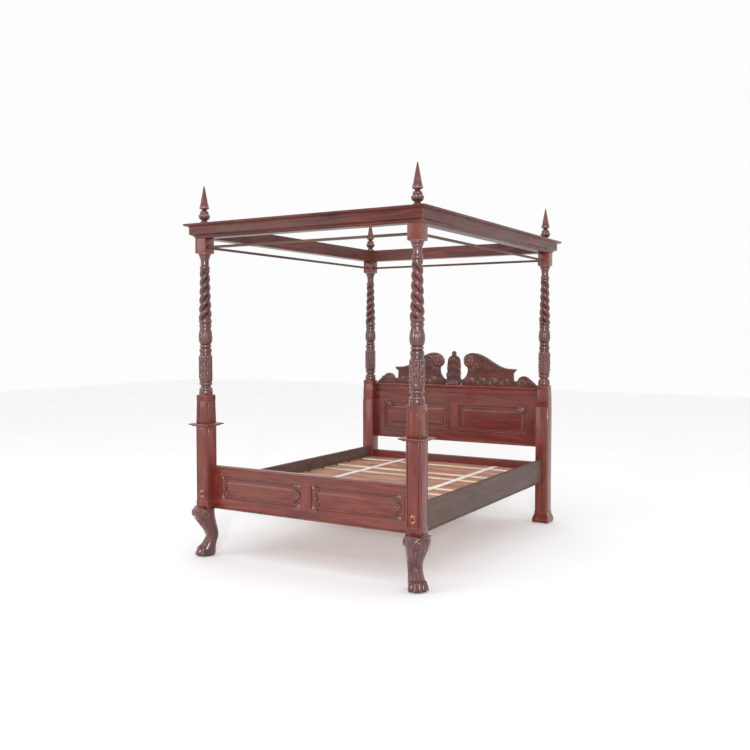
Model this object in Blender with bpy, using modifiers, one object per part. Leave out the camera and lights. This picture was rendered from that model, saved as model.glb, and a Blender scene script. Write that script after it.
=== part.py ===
# Four poster bed with a cornice canopy, for a 1350 x 1900 mm mattress.
# +X is the right side seen from the foot, +Y points to the head, +Z is up,
# and the origin is on the floor at the middle of the bed.
import math

import bmesh
import bpy
from mathutils import Matrix, Vector

# ---- driving dimensions, in metres ----
BED_HEIGHT = 2.250          # floor to finial tip
POST_X = 0.7265             # post axis from the middle, across the bed
POST_Y = 0.978              # post axis from the middle, along the bed
POST_SIDE = 0.090           # square part of a lower post
POST_TOP_SIDE = 0.080       # same, where the turned part starts, and the top block
SHOULDER_Z = 0.988          # lower post meets upper post
COLLAR_Z = 0.798            # underside of the collar on a foot post
COLLAR_REACH = 0.030        # how far the collar stands out from the post
BLOCK_Z = 1.845             # underside of the square block on an upper post
CORNICE_Z = 1.932           # underside of the cornice
CORNICE_TOP_Z = 2.018
CORNICE_REACH = 0.090       # cornice ledge from the post axis
ROD_Z = 1.880
ROD_RADIUS = 0.008
TENON_RADIUS = 0.016
PIN_RADIUS = 0.006
PANEL_FRAME = 0.026         # thickness of the headboard and footboard frames
FRAME_BACK = 0.044          # rear face of both frames, behind the post axis
RAIL_THICK = 0.028
RAIL_X = 0.739              # outer face of a side rail
RAIL_LOW, RAIL_HIGH = 0.295, 0.460
SLAT_TOP_Z = 0.3803
SLAT_THICK = 0.020
SLAT_WIDTH = 0.118
SLAT_PITCH = 0.178
SLAT_COUNT = 10
SLAT_HALF_LENGTH = 0.705
TAPE_WIDTH = 0.040
TAPE_THICK = 0.0016
BOLT_Z = 0.387
COVER_PIVOT_Z = 0.405
GAP = 0.0003                # clearance between touching pieces

half_post = POST_SIDE / 2
inner_x = POST_X - half_post - GAP
inner_y = POST_Y - half_post - GAP

for old in list(bpy.data.objects):
    bpy.data.objects.remove(old, do_unlink=True)

bed = bpy.data.collections.new("four_poster_bed")
cutters = bpy.data.collections.new("cutters")
bpy.context.scene.collection.children.link(bed)
bpy.context.scene.collection.children.link(cutters)
cutters.hide_render = True


def make_material(name, colour, roughness, metallic=0.0):
    material = bpy.data.materials.new(name)
    material.use_nodes = True
    shader = material.node_tree.nodes["Principled BSDF"]
    shader.inputs["Base Color"].default_value = (*colour, 1.0)
    shader.inputs["Roughness"].default_value = roughness
    shader.inputs["Metallic"].default_value = metallic
    return material


mahogany = make_material("mahogany", (0.190, 0.052, 0.040), 0.30)
dark_mahogany = make_material("dark_mahogany", (0.095, 0.030, 0.030), 0.38)
pine = make_material("pine", (0.560, 0.360, 0.250), 0.60)
webbing = make_material("webbing", (0.780, 0.740, 0.680), 0.85)
brass = make_material("brass", (0.720, 0.440, 0.140), 0.30, 1.0)
steel = make_material("steel", (0.420, 0.420, 0.430), 0.35, 1.0)


def finish(bm, name, material, location=(0, 0, 0), cutter=False, smooth=False):
    """Turns a bmesh into a named object in the bed's or the cutters' collection."""
    mesh = bpy.data.meshes.new(name)
    bm.to_mesh(mesh)
    bm.free()
    if smooth:
        mesh.shade_smooth()
        mesh.set_sharp_from_angle(angle=math.radians(35))
    obj = bpy.data.objects.new(name, mesh)
    obj.location = location
    if material:
        mesh.materials.append(material)
    if cutter:
        cutters.objects.link(obj)
        obj.hide_render = True
        obj.display_type = "WIRE"
    else:
        bed.objects.link(obj)
    return obj


def box(name, low, high, material, location=(0, 0, 0), cutter=False):
    """A block between two corners, given relative to its location."""
    low, high = Vector(low), Vector(high)
    bm = bmesh.new()
    bmesh.ops.create_cube(bm, size=1.0)
    bmesh.ops.scale(bm, vec=high - low, verts=bm.verts)
    bmesh.ops.translate(bm, vec=(low + high) / 2, verts=bm.verts)
    return finish(bm, name, material, location, cutter)


def turned(name, profile, material, location=(0, 0, 0), steps=12, cutter=False, loop=False):
    """A turned piece from (radius, height) points that run from top to bottom on the outside."""
    bm = bmesh.new()
    points = [bm.verts.new((radius, 0, height)) for radius, height in profile]
    for first, second in zip(points, points[1:]):
        bm.edges.new((first, second))
    if loop:
        bm.edges.new((points[-1], points[0]))
    obj = finish(bm, name, material, location, cutter)
    screw = obj.modifiers.new("turn", "SCREW")
    screw.steps = screw.render_steps = steps
    screw.use_merge_vertices = True
    screw.merge_threshold = 0.00001
    screw.use_smooth_shade = not loop
    return obj


def boolean(obj, other, operation="DIFFERENCE"):
    modifier = obj.modifiers.new(operation.lower(), "BOOLEAN")
    modifier.operation = operation
    modifier.object = other
    modifier.solver = "EXACT"


def soften(obj, width, segments=1):
    bevel = obj.modifiers.new("soft_edges", "BEVEL")
    bevel.width = width
    bevel.segments = segments
    bevel.limit_method = "ANGLE"


def stretch_top(obj, height, side):
    """Extrudes a square post's top face up to a height, where it has a new width."""
    bm = bmesh.new()
    bm.from_mesh(obj.data)
    bm.faces.ensure_lookup_table()
    top = max(bm.faces, key=lambda face: face.calc_center_median().z)
    old_side = 2 * max(abs(v.co.x) for v in top.verts)
    made = bmesh.ops.extrude_face_region(bm, geom=[top])
    verts = [v for v in made["geom"] if isinstance(v, bmesh.types.BMVert)]
    bm.faces.remove(top)
    for v in verts:
        v.co = Vector((v.co.x * side / old_side, v.co.y * side / old_side, height))
    bm.to_mesh(obj.data)
    bm.free()


def stacked_rings(name, levels, turn, location):
    """A closed form from oval rings: each level is (height, centre, half depth, half width)."""
    bm = bmesh.new()
    bmesh.ops.create_circle(bm, cap_ends=True, segments=14, radius=1.0)
    bottom = bm.faces[:][0]
    if bottom.normal.z > 0:
        bottom.normal_flip()
    unit = [v.co.copy() for v in bm.verts]
    height, centre, depth, width = levels[0]
    for v, u in zip(bm.verts, unit):
        v.co = Vector((centre + u.x * depth, u.y * width, height))
    ring = bm.verts[:]
    for height, centre, depth, width in levels[1:]:
        upper = [bm.verts.new((centre + u.x * depth, u.y * width, height)) for u in unit]
        for verts in (ring, upper):
            for first, second in zip(verts, verts[1:] + verts[:1]):
                if not bm.edges.get((first, second)):
                    bm.edges.new((first, second))
        edges = [bm.edges.get((a, b)) for verts in (ring, upper)
                 for a, b in zip(verts, verts[1:] + verts[:1])]
        bmesh.ops.bridge_loops(bm, edges=edges)
        ring = upper
    bm.faces.new(ring)
    bmesh.ops.recalc_face_normals(bm, faces=bm.faces)
    bmesh.ops.rotate(bm, verts=bm.verts, cent=(0, 0, 0), matrix=Matrix.Rotation(turn, 3, "Z"))
    return finish(bm, name, None, location, cutter=True)


def flat_outline(name, points, thickness, material, location):
    """A flat board with a shaped outline in X and Z, centred on its location in Y."""
    curve = bpy.data.curves.new(name, "CURVE")
    curve.dimensions = "2D"
    curve.fill_mode = "BOTH"
    curve.extrude = thickness / 2
    spline = curve.splines.new("POLY")
    spline.points.add(len(points) - 1)
    for point, (x, z) in zip(spline.points, points):
        point.co = (x, z, 0, 1)
    spline.use_cyclic_u = True
    curve.materials.append(material)
    obj = bpy.data.objects.new(name, curve)
    obj.location = location
    obj.rotation_euler = (math.radians(90), 0, 0)
    bed.objects.link(obj)
    return obj


def rod(name, start, end, radius, material):
    curve = bpy.data.curves.new(name, "CURVE")
    curve.dimensions = "3D"
    curve.bevel_depth = radius
    curve.bevel_resolution = 2
    curve.use_fill_caps = True
    spline = curve.splines.new("POLY")
    spline.points.add(1)
    middle = (Vector(start) + Vector(end)) / 2
    spline.points[0].co = (*(Vector(start) - middle), 1)
    spline.points[1].co = (*(Vector(end) - middle), 1)
    curve.materials.append(material)
    obj = bpy.data.objects.new(name, curve)
    obj.location = middle
    bed.objects.link(obj)
    return obj


def moulded_bar(name, section, half_length, mitred, material, location, turn=0.0):
    """A bar along local X with a (depth, height) section; mitred ends run out with the depth."""
    bm = bmesh.new()
    start = [bm.verts.new((-half_length - (depth if mitred else 0), depth, height))
             for depth, height in section]
    face = bm.faces.new(start)
    made = bmesh.ops.extrude_face_region(bm, geom=[face])
    for v in (v for v in made["geom"] if isinstance(v, bmesh.types.BMVert)):
        v.co.x = -v.co.x
    bmesh.ops.recalc_face_normals(bm, faces=bm.faces)
    obj = finish(bm, name, material, location)
    obj.rotation_euler = (0, 0, turn)
    return obj


def fielded_panel(name, low, high, material, raise_by=0.004, margin=0.045):
    """A panel whose middle stands forward, towards -Y, behind a sloping border."""
    obj = box(name, low, high, material)
    bm = bmesh.new()
    bm.from_mesh(obj.data)
    front = min(bm.faces, key=lambda face: face.calc_center_median().y)
    bmesh.ops.inset_region(bm, faces=[front], thickness=margin, depth=0)
    for v in front.verts:
        v.co.y -= raise_by
    bm.to_mesh(obj.data)
    bm.free()
    return obj


# ---- lower posts ----
# cabriole leg: height, centre along the diagonal, half depth, half width
LEG_LEVELS = (
    (0.000, 0.014, 0.060, 0.050),
    (0.012, 0.016, 0.066, 0.057),
    (0.038, 0.010, 0.064, 0.056),
    (0.066, -0.006, 0.052, 0.046),
    (0.100, -0.026, 0.040, 0.038),
    (0.140, -0.030, 0.037, 0.037),
    (0.185, -0.014, 0.048, 0.046),
    (0.230, 0.012, 0.064, 0.058),
    (0.265, 0.024, 0.071, 0.062),
    (0.290, 0.022, 0.059, 0.056),
    (0.306, 0.010, 0.050, 0.050),
    (0.330, 0.000, 0.034, 0.034),
)

tenon_cutter = turned("tenon_cutter", [
    (0, 1.02), (TENON_RADIUS + GAP, 1.02), (TENON_RADIUS + GAP, 0.925), (0, 0.925)],
    None, steps=16, cutter=True)

for side, x in (("left", -POST_X), ("right", POST_X)):
    sign = -1 if x < 0 else 1
    place = (x, -POST_Y, 0)
    post = box(f"foot_post_lower_{side}", (-half_post, -half_post, 0.302),
               (half_post, half_post, COLLAR_Z + 0.020), mahogany, place)
    stretch_top(post, SHOULDER_Z, POST_TOP_SIDE)
    leg = stacked_rings(f"leg_form_{side}", LEG_LEVELS, math.radians(-90 + 45 * sign), place)
    boolean(post, leg, "UNION")
    mortise = tenon_cutter.copy()
    mortise.location = place
    cutters.objects.link(mortise)
    boolean(post, mortise)
    # stepped hole for the bed bolt, from the front face right through the post
    bolt_hole = turned(f"bolt_hole_{side}", [
        (0, 0.010), (0.0115, 0.010), (0.0115, -0.012), (0.0055, -0.012), (0.0055, -0.100),
        (0, -0.100)], None, (x, -POST_Y - half_post, BOLT_Z), cutter=True)
    bolt_hole.rotation_euler = (math.radians(90), 0, 0)
    boolean(post, bolt_hole)
    pivot_hole = turned(f"pivot_hole_{side}", [
        (0, 0.005), (0.0028, 0.005), (0.0028, -0.013), (0, -0.013)], None,
        (x, -POST_Y - half_post, COVER_PIVOT_Z), steps=10, cutter=True)
    pivot_hole.rotation_euler = (math.radians(90), 0, 0)
    boolean(post, pivot_hole)

    collar_in = (half_post + GAP) * math.sqrt(2)
    collar_out = (half_post + COLLAR_REACH) * math.sqrt(2)
    collar = turned(f"foot_post_collar_{side}", [
        (collar_in, COLLAR_Z + 0.0197), (collar_out - 0.016, COLLAR_Z + 0.0197),
        (collar_out, COLLAR_Z + 0.013), (collar_out, COLLAR_Z + 0.006),
        (collar_out - 0.012, COLLAR_Z), (collar_in, COLLAR_Z)],
        mahogany, place, steps=4, loop=True)
    collar.rotation_euler = (0, 0, math.radians(45))

    # plain head post on a swollen pad foot
    post = box(f"head_post_lower_{side}", (-half_post, -half_post, 0.072),
               (half_post, half_post, 0.900), mahogany, (x, POST_Y, 0))
    stretch_top(post, SHOULDER_Z, POST_TOP_SIDE)
    pad = turned(f"pad_form_{side}", [
        (0, 0.080), (0.058, 0.080), (0.068, 0.070), (0.083, 0.052), (0.085, 0.030),
        (0.083, 0.010), (0.074, 0.0), (0, 0.0)], None, (x, POST_Y, 0), steps=4, cutter=True)
    pad.rotation_euler = (0, 0, math.radians(45))
    boolean(post, pad, "UNION")
    mortise = tenon_cutter.copy()
    mortise.location = (x, POST_Y, 0)
    cutters.objects.link(mortise)
    boolean(post, mortise)

bpy.data.objects.remove(tenon_cutter, do_unlink=True)

# ---- upper posts and finials ----
SHAFT = [
    (0, 1.872), (0.030, 1.872), (0.0375, 1.850), (0.0365, 1.834), (0.0290, 1.819),
    (0.0280, 1.765), (0.0310, 1.757), (0.0280, 1.747), (0.0300, 1.640), (0.0335, 1.540),
    (0.0385, 1.427), (0.0370, 1.408), (0.0340, 1.396), (0.0360, 1.372), (0.0400, 1.336),
    (0.0300, 1.295), (0.0360, 1.285), (0.0310, 1.274), (0.0370, 1.258), (0.0340, 1.240),
    (0.0405, 1.228), (0.0405, 1.080), (0.0340, 1.068), (0.0400, 1.056), (0.0345, 1.042),
    (0.0405, 1.023), (0.0365, 1.013), (0.0415, 1.003), (0.0400, SHOULDER_Z + GAP),
    (TENON_RADIUS, SHOULDER_Z + GAP), (TENON_RADIUS, 0.930), (0, 0.930),
]
FINIAL = [
    (0, BED_HEIGHT), (0.0045, 2.234), (0.0120, 2.203), (0.0215, 2.160), (0.0290, 2.124),
    (0.0315, 2.114), (0.0270, 2.108), (0.0140, 2.103), (0.0190, 2.097), (0.0300, 2.090),
    (0.0355, 2.072), (0.0280, 2.052), (0.0170, 2.043), (0.0270, 2.032),
    (0.0290, CORNICE_TOP_Z + GAP), (PIN_RADIUS, CORNICE_TOP_Z + GAP),
    (PIN_RADIUS, 1.885), (0, 1.885),
]
PIN_HOLE = [(0, 2.05), (PIN_RADIUS + GAP, 2.05), (PIN_RADIUS + GAP, 1.880), (0, 1.880)]
pin_holes = []

block_half = POST_TOP_SIDE / 2
for end, y in (("foot", -POST_Y), ("head", POST_Y)):
    for side, x in (("left", -POST_X), ("right", POST_X)):
        place = (x, y, 0)
        shaft = turned(f"{end}_post_upper_{side}", SHAFT, mahogany, place)
        block = box(f"block_form_{end}_{side}", (-block_half, -block_half, BLOCK_Z),
                    (block_half, block_half, CORNICE_Z - GAP), None, place, cutter=True)
        boolean(shaft, block, "UNION")
        hole = turned(f"pin_hole_{end}_{side}", PIN_HOLE, None, place, cutter=True)
        boolean(shaft, hole)
        pin_holes.append((x, y, hole))
        finial = turned(f"finial_{end}_{side}",
                        [(radius, height - CORNICE_TOP_Z) for radius, height in FINIAL],
                        mahogany, (x, y, CORNICE_TOP_Z))

# ---- cornice: four mitred rails that lift off together ----
CORNICE = [
    (-0.030, CORNICE_Z), (0.039, CORNICE_Z), (0.043, 1.941), (0.052, 1.950),
    (0.065, 1.956), (0.065, 1.999), (0.078, 2.004), (CORNICE_REACH, 2.006),
    (CORNICE_REACH, CORNICE_TOP_Z), (-0.030, CORNICE_TOP_Z),
]
canopy = bpy.data.objects.new("canopy_lift", None)
canopy.location = (0, 0, CORNICE_Z)
bed.objects.link(canopy)
for name, half, place, turn in (
        ("cornice_rail_foot", POST_X, (0, -POST_Y, 0), 180),
        ("cornice_rail_head", POST_X, (0, POST_Y, 0), 0),
        ("cornice_rail_left", POST_Y, (-POST_X, 0, 0), 90),
        ("cornice_rail_right", POST_Y, (POST_X, 0, 0), -90)):
    rail = moulded_bar(name, CORNICE, half - GAP, True, mahogany, place, math.radians(turn))
    for x, y, hole in pin_holes:
        if (place[0] == 0 or place[0] == x) and (place[1] == 0 or place[1] == y):
            boolean(rail, hole)
    rail.parent = canopy
    rail.matrix_parent_inverse = Matrix.Translation((0, 0, -CORNICE_Z))

# ---- curtain rods, between the top blocks ----
rod_x = POST_X - block_half - GAP
rod_y = POST_Y - block_half - GAP
rod("curtain_rod_foot", (-rod_x, -POST_Y, ROD_Z), (rod_x, -POST_Y, ROD_Z), ROD_RADIUS,
    dark_mahogany)
rod("curtain_rod_head", (-rod_x, POST_Y, ROD_Z), (rod_x, POST_Y, ROD_Z), ROD_RADIUS,
    dark_mahogany)
rod("curtain_rod_left", (-POST_X, -rod_y, ROD_Z), (-POST_X, rod_y, ROD_Z), ROD_RADIUS,
    dark_mahogany)
rod("curtain_rod_right", (POST_X, -rod_y, ROD_Z), (POST_X, rod_y, ROD_Z), ROD_RADIUS,
    dark_mahogany)

# ---- footboard and headboard: framed panels between the posts ----


def framed_board(name, post_y, low, panel_low, panel_high, high, stile_x, muntin, cap):
    back = post_y + FRAME_BACK
    front = back - PANEL_FRAME
    box(f"{name}_bottom_rail", (-inner_x, front, low), (inner_x, back, panel_low), mahogany)
    section = [(front, panel_high), (front, high - cap), (front - 0.011, high - cap + 0.004),
               (front - 0.011, high), (back, high), (back, panel_high)]
    moulded_bar(f"{name}_top_rail", section, inner_x, False, mahogany, (0, 0, 0))
    box(f"{name}_muntin", (-muntin, front, panel_low + GAP), (muntin, back, panel_high - GAP),
        mahogany)
    for side, sign in (("left", -1), ("right", 1)):
        ends = sorted((sign * stile_x, sign * inner_x))
        box(f"{name}_stile_{side}", (ends[0], front, panel_low + GAP),
            (ends[1], back, panel_high - GAP), mahogany)
        ends = sorted((sign * (muntin + GAP), sign * (stile_x - GAP)))
        fielded_panel(f"{name}_panel_{side}", (ends[0], front + 0.007, panel_low + GAP),
                      (ends[1], back - 0.006, panel_high - GAP), mahogany)


framed_board("footboard", -POST_Y, 0.290, 0.357, 0.497, 0.555, 0.630, 0.034, 0.018)
framed_board("headboard", POST_Y, 0.537, 0.610, 0.830, 0.970, 0.606, 0.036, 0.022)

# ---- crest on the headboard: two swan-neck scrolls and a middle ornament ----
SWAN_NECK = [
    (0.0665, 0.000), (0.672, 0.000), (0.672, 0.010), (0.640, 0.030), (0.600, 0.062),
    (0.565, 0.078), (0.530, 0.062), (0.512, 0.036), (0.482, 0.044), (0.495, 0.060),
    (0.495, 0.127), (0.440, 0.130), (0.380, 0.146), (0.310, 0.184), (0.240, 0.224),
    (0.190, 0.240), (0.158, 0.242), (0.118, 0.230), (0.092, 0.208), (0.084, 0.188),
    (0.090, 0.150), (0.105, 0.115), (0.100, 0.075), (0.085, 0.046), (0.0665, 0.040),
]
ORNAMENT = [
    (0.052, 0.000), (0.060, 0.030), (0.046, 0.060), (0.052, 0.085), (0.046, 0.110),
    (0.050, 0.135), (0.040, 0.160), (0.043, 0.185), (0.028, 0.212), (0.015, 0.228),
    (0.012, 0.250), (0.000, 0.257),
]
board_y = POST_Y + FRAME_BACK - PANEL_FRAME / 2
crest_z = 0.970 + GAP
flat_outline("crest_left", [(-x, z) for x, z in SWAN_NECK], PANEL_FRAME, mahogany,
             (0, board_y, crest_z))
flat_outline("crest_right", SWAN_NECK, PANEL_FRAME, mahogany, (0, board_y, crest_z))
flat_outline("crest_ornament", ORNAMENT + [(-x, z) for x, z in ORNAMENT[-2::-1]], 0.034,
             mahogany, (0, board_y, crest_z))

# ---- side rails, slat ledges, head rail ----
for side, sign in (("left", -1), ("right", 1)):
    ends = sorted((sign * (RAIL_X - RAIL_THICK), sign * RAIL_X))
    rail = box(f"side_rail_{side}", (ends[0], -inner_y, RAIL_LOW), (ends[1], inner_y, RAIL_HIGH),
               dark_mahogany)
    bore = turned(f"rail_bore_{side}", [
        (0, 0.050), (0.0053, 0.050), (0.0053, -0.085), (0, -0.085)], None,
        (sign * POST_X, -inner_y, BOLT_Z), cutter=True)
    bore.rotation_euler = (math.radians(90), 0, 0)
    boolean(rail, bore)
    ends = sorted((sign * (RAIL_X - RAIL_THICK - GAP), sign * 0.684))
    box(f"slat_ledge_{side}", (ends[0], -0.925, 0.335),
        (ends[1], 0.925, SLAT_TOP_Z - SLAT_THICK - GAP), pine)
box("head_rail", (-inner_x, 0.972, RAIL_LOW), (inner_x, 0.972 + RAIL_THICK, 0.430),
    mahogany)

# ---- slats on two webbing tapes ----
slat_set = bpy.data.objects.new("slat_set_lift", None)
slat_set.location = (0, 0, SLAT_TOP_Z - SLAT_THICK)
bed.objects.link(slat_set)
last_slat_y = 0.870
for number in range(SLAT_COUNT):
    y = last_slat_y - SLAT_PITCH * (SLAT_COUNT - 1 - number)
    slat = box(f"slat_{number + 1:02d}", (-SLAT_HALF_LENGTH, -SLAT_WIDTH / 2, 0),
               (SLAT_HALF_LENGTH, SLAT_WIDTH / 2, SLAT_THICK), pine, (0, y, 0))
    soften(slat, 0.0015)
    slat.parent = slat_set
first_slat_y = last_slat_y - SLAT_PITCH * (SLAT_COUNT - 1)
for side, x in (("left", -0.380), ("right", 0.380)):
    tape = box(f"webbing_{side}", (-TAPE_WIDTH / 2, first_slat_y - 0.050, 0),
               (TAPE_WIDTH / 2, last_slat_y + 0.050, TAPE_THICK), webbing,
               (x, 0, SLAT_THICK + GAP))
    tape.parent = slat_set

# ---- bed bolts and their swinging covers, on the foot posts ----
for side, x in (("left", -POST_X), ("right", POST_X)):
    front = -POST_Y - half_post
    bolt = turned(f"bed_bolt_{side}", [
        (0, -0.003), (0.0095, -0.003), (0.0095, -0.0117), (0.0050, -0.0117),
        (0.0050, -0.165), (0, -0.165)], steel, (x, front, BOLT_Z), steps=10)
    bolt.rotation_euler = (math.radians(90), 0, 0)

    bm = bmesh.new()
    bmesh.ops.create_cone(bm, cap_ends=True, segments=20, radius1=1.0, radius2=1.0, depth=1.0)
    bmesh.ops.scale(bm, vec=(0.0155, 0.0225, 0.0022), verts=bm.verts)
    bmesh.ops.rotate(bm, verts=bm.verts, cent=(0, 0, 0),
                     matrix=Matrix.Rotation(math.radians(90), 3, "X"))
    bmesh.ops.translate(bm, verts=bm.verts, vec=(0, -0.0014, BOLT_Z - COVER_PIVOT_Z))
    cover = finish(bm, f"bolt_cover_{side}", brass, (x, front, COVER_PIVOT_Z))
    pin = turned(f"cover_pin_{side}", [
        (0, 0.0036), (0.0030, 0.0036), (0.0038, 0.0026), (0.0038, 0.0012), (0.0026, 0.0012),
        (0.0026, -0.011), (0, -0.011)], None, (x, front, COVER_PIVOT_Z), steps=10, cutter=True)
    pin.rotation_euler = (math.radians(90), 0, 0)
    boolean(cover, pin, "UNION")
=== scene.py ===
import math

import bmesh
import bpy
from mathutils import Matrix, Vector


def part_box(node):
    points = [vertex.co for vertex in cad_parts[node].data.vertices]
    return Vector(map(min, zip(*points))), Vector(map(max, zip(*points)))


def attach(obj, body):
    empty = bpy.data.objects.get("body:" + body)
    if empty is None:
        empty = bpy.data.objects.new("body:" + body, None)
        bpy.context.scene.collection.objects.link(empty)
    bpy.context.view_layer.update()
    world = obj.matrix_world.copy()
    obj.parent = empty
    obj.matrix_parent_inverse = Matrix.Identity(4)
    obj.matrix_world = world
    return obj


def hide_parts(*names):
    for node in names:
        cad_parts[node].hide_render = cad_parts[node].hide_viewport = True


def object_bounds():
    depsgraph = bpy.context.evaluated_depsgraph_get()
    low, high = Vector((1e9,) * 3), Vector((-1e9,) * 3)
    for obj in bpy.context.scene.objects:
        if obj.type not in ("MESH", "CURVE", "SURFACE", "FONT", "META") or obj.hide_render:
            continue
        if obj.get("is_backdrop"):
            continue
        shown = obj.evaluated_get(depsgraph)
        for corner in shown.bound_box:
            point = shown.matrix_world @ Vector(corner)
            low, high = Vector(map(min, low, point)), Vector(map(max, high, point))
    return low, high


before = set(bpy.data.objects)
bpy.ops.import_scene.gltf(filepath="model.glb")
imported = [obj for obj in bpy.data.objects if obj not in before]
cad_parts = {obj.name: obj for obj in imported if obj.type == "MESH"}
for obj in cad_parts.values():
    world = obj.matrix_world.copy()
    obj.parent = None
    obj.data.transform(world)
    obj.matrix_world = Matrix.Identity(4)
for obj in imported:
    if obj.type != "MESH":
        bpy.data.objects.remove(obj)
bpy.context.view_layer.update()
print("frame loaded,", len(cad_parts), "CAD pieces")

# the bed's own measures, in metres: post centres, half a post's width, and the cornice's seat
bed = {"postX": 0.7265, "postY": 0.978, "postHalf": 0.045, "cornice": 1.932}
leftRight = (("left", -1), ("right", 1))
footHead = (("foot", -1), ("head", 1))
root2 = math.sqrt(2)


# the bench: picking pieces up, opening them for editing and putting them down
def clearSelection():
    bpy.ops.object.select_all(action="DESELECT")


def takeOnly(piece):
    clearSelection()
    piece.select_set(True)
    bpy.context.view_layer.objects.active = piece


def openEdit(piece, kind="FACE"):
    takeOnly(piece)
    bpy.ops.object.mode_set(mode="EDIT")
    bpy.ops.mesh.select_mode(type=kind)
    bpy.ops.mesh.select_all(action="SELECT")


def closeEdit():
    bpy.ops.object.mode_set(mode="OBJECT")


def faceOutwards():
    bpy.ops.mesh.select_all(action="SELECT")
    bpy.ops.mesh.normals_make_consistent(inside=False)


def pickFaces(test):
    # selects the faces that pass a test on their middle and normal
    bpy.ops.mesh.select_all(action="DESELECT")
    mesh = bpy.context.edit_object.data
    cage = bmesh.from_edit_mesh(mesh)
    for face in cage.faces:
        if test(face.calc_center_median(), face.normal):
            face.select_set(True)
    cage.select_flush_mode()
    bmesh.update_edit_mesh(mesh)


def insetBy(thickness, move):
    # draws the picked faces in, then moves them
    bpy.ops.mesh.inset(thickness=thickness, depth=0)
    bpy.ops.transform.translate(value=move)


def extrudeBy(move):
    bpy.ops.mesh.extrude_region_move(TRANSFORM_OT_translate={"value": move})


def settle(piece):
    # origin to the world's middle, no turn, no scale
    takeOnly(piece)
    bpy.ops.object.transform_apply(location=True, rotation=True, scale=True)
    return piece


def laid(piece, place, degrees):
    # turned by degrees about X, Y and Z, then moved
    piece.rotation_euler = [math.radians(angle) for angle in degrees]
    piece.location = place
    return settle(piece)


def standing(place, turn=0.0):
    # a place on the bed, with a turn about Z
    return Matrix.Translation(place) @ Matrix.Rotation(turn, 4, "Z")


def named(name):
    piece = bpy.context.active_object
    piece.name = name
    piece.data.name = name
    return piece


def started(name, primitive, stretch=(1, 1, 1), **settings):
    # a fresh primitive, stretched about its own middle
    clearSelection()
    getattr(bpy.ops.mesh, f"primitive_{primitive}_add")(**settings)
    piece = named(name)
    piece.scale = stretch
    return settle(piece)


def smoothOver(piece, angle=35):
    takeOnly(piece)
    bpy.ops.object.shade_smooth_by_angle(angle=math.radians(angle))
    return piece


def useModifier(piece, kind, **values):
    takeOnly(piece)
    modifier = piece.modifiers.new(kind.lower(), kind)
    for key, value in values.items():
        setattr(modifier, key, value)
    bpy.ops.object.modifier_apply(modifier=modifier.name)
    return piece


def thrownOut(*pieces):
    for piece in pieces:
        bpy.data.objects.remove(piece, do_unlink=True)


def cutAway(piece, tool):
    useModifier(piece, "BOOLEAN", object=tool, operation="DIFFERENCE", solver="EXACT")
    thrownOut(tool)


def bored(piece, place, radius, depth, corners=32, tilt=0.0):
    # drills a round hole, upright or tilted about X
    cutAway(piece, started("drill", "cylinder", vertices=corners, radius=radius, depth=depth,
                           location=place, rotation=(math.radians(tilt), 0, 0)))


def joined(name, parts):
    clearSelection()
    for part in parts:
        part.select_set(True)
    bpy.context.view_layer.objects.active = parts[0]
    if len(parts) > 1:
        bpy.ops.object.join()
    return named(name)


def copied(piece, name, place):
    # a copy with its own mesh, put in place by a matrix
    twin = piece.copy()
    twin.data = piece.data.copy()
    twin.name = twin.data.name = name
    bpy.context.scene.collection.objects.link(twin)
    twin.data.transform(place)
    return twin


def finished(piece, look):
    piece.data.materials.clear()
    piece.data.materials.append(look)
    return piece


def shown(piece, body, slot, look, *nodes):
    # hands a piece over: its finish, the body it rides on and the solids it stands for
    if look:
        finished(piece, look)
    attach(piece, body)
    if nodes:
        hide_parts(*nodes)


# the cuts: blocks, turned work, moulded bars, sawn boards and carved strands
def block(name, low, high, edge=0.0015, rounds=2):
    low, high = Vector(low), Vector(high)
    piece = started(name, "cube", high - low, size=1, location=(low + high) / 2)
    if edge:
        openEdit(piece, "EDGE")
        bpy.ops.mesh.bevel(offset=edge, segments=rounds, affect="EDGES")
        closeEdit()
    return piece


def ball(place, size, segments=16):
    return started("ball", "uv_sphere", size, segments=segments, ring_count=segments // 2,
                   radius=1, location=place)


def chain(name, points):
    # a run of edges through points, started from one plane pulled together to a corner
    piece = started(name, "plane", size=0.01, location=(0, 0, 0))
    openEdit(piece, "VERT")
    bpy.ops.mesh.merge(type="CENTER")
    bpy.ops.mesh.select_all(action="SELECT")
    bpy.ops.transform.translate(value=points[0])
    last = Vector(points[0])
    for point in points[1:]:
        bpy.ops.mesh.extrude_vertices_move(
            TRANSFORM_OT_translate={"value": Vector(point) - last})
        last = Vector(point)
    bpy.ops.mesh.select_all(action="SELECT")
    return piece


def outlined(name, points):
    # a flat face round points, picked and ready to be pulled
    piece = chain(name, points)
    bpy.ops.mesh.edge_face_add()
    bpy.ops.mesh.select_mode(type="FACE")
    bpy.ops.mesh.select_all(action="SELECT")
    return piece


def turned(name, profile, steps=48, angle=35):
    # lathe work: (radius, height) points, spun round Z
    piece = chain(name, [(radius, 0, height) for radius, height in profile])
    bpy.ops.mesh.spin(steps=steps, angle=2 * math.pi, center=(0, 0, 0), axis=(0, 0, 1))
    bpy.ops.mesh.select_all(action="SELECT")
    bpy.ops.mesh.remove_doubles(threshold=0.000005)
    faceOutwards()
    closeEdit()
    return smoothOver(piece, angle)


def turnedSquare(name, profile, place, angle):
    # a square moulding: four-sided lathe work, its flats square to the bed
    piece = turned(name, [(radius * root2, height) for radius, height in profile], 4, angle)
    piece.data.transform(standing(place, math.radians(45)))
    return piece


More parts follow.
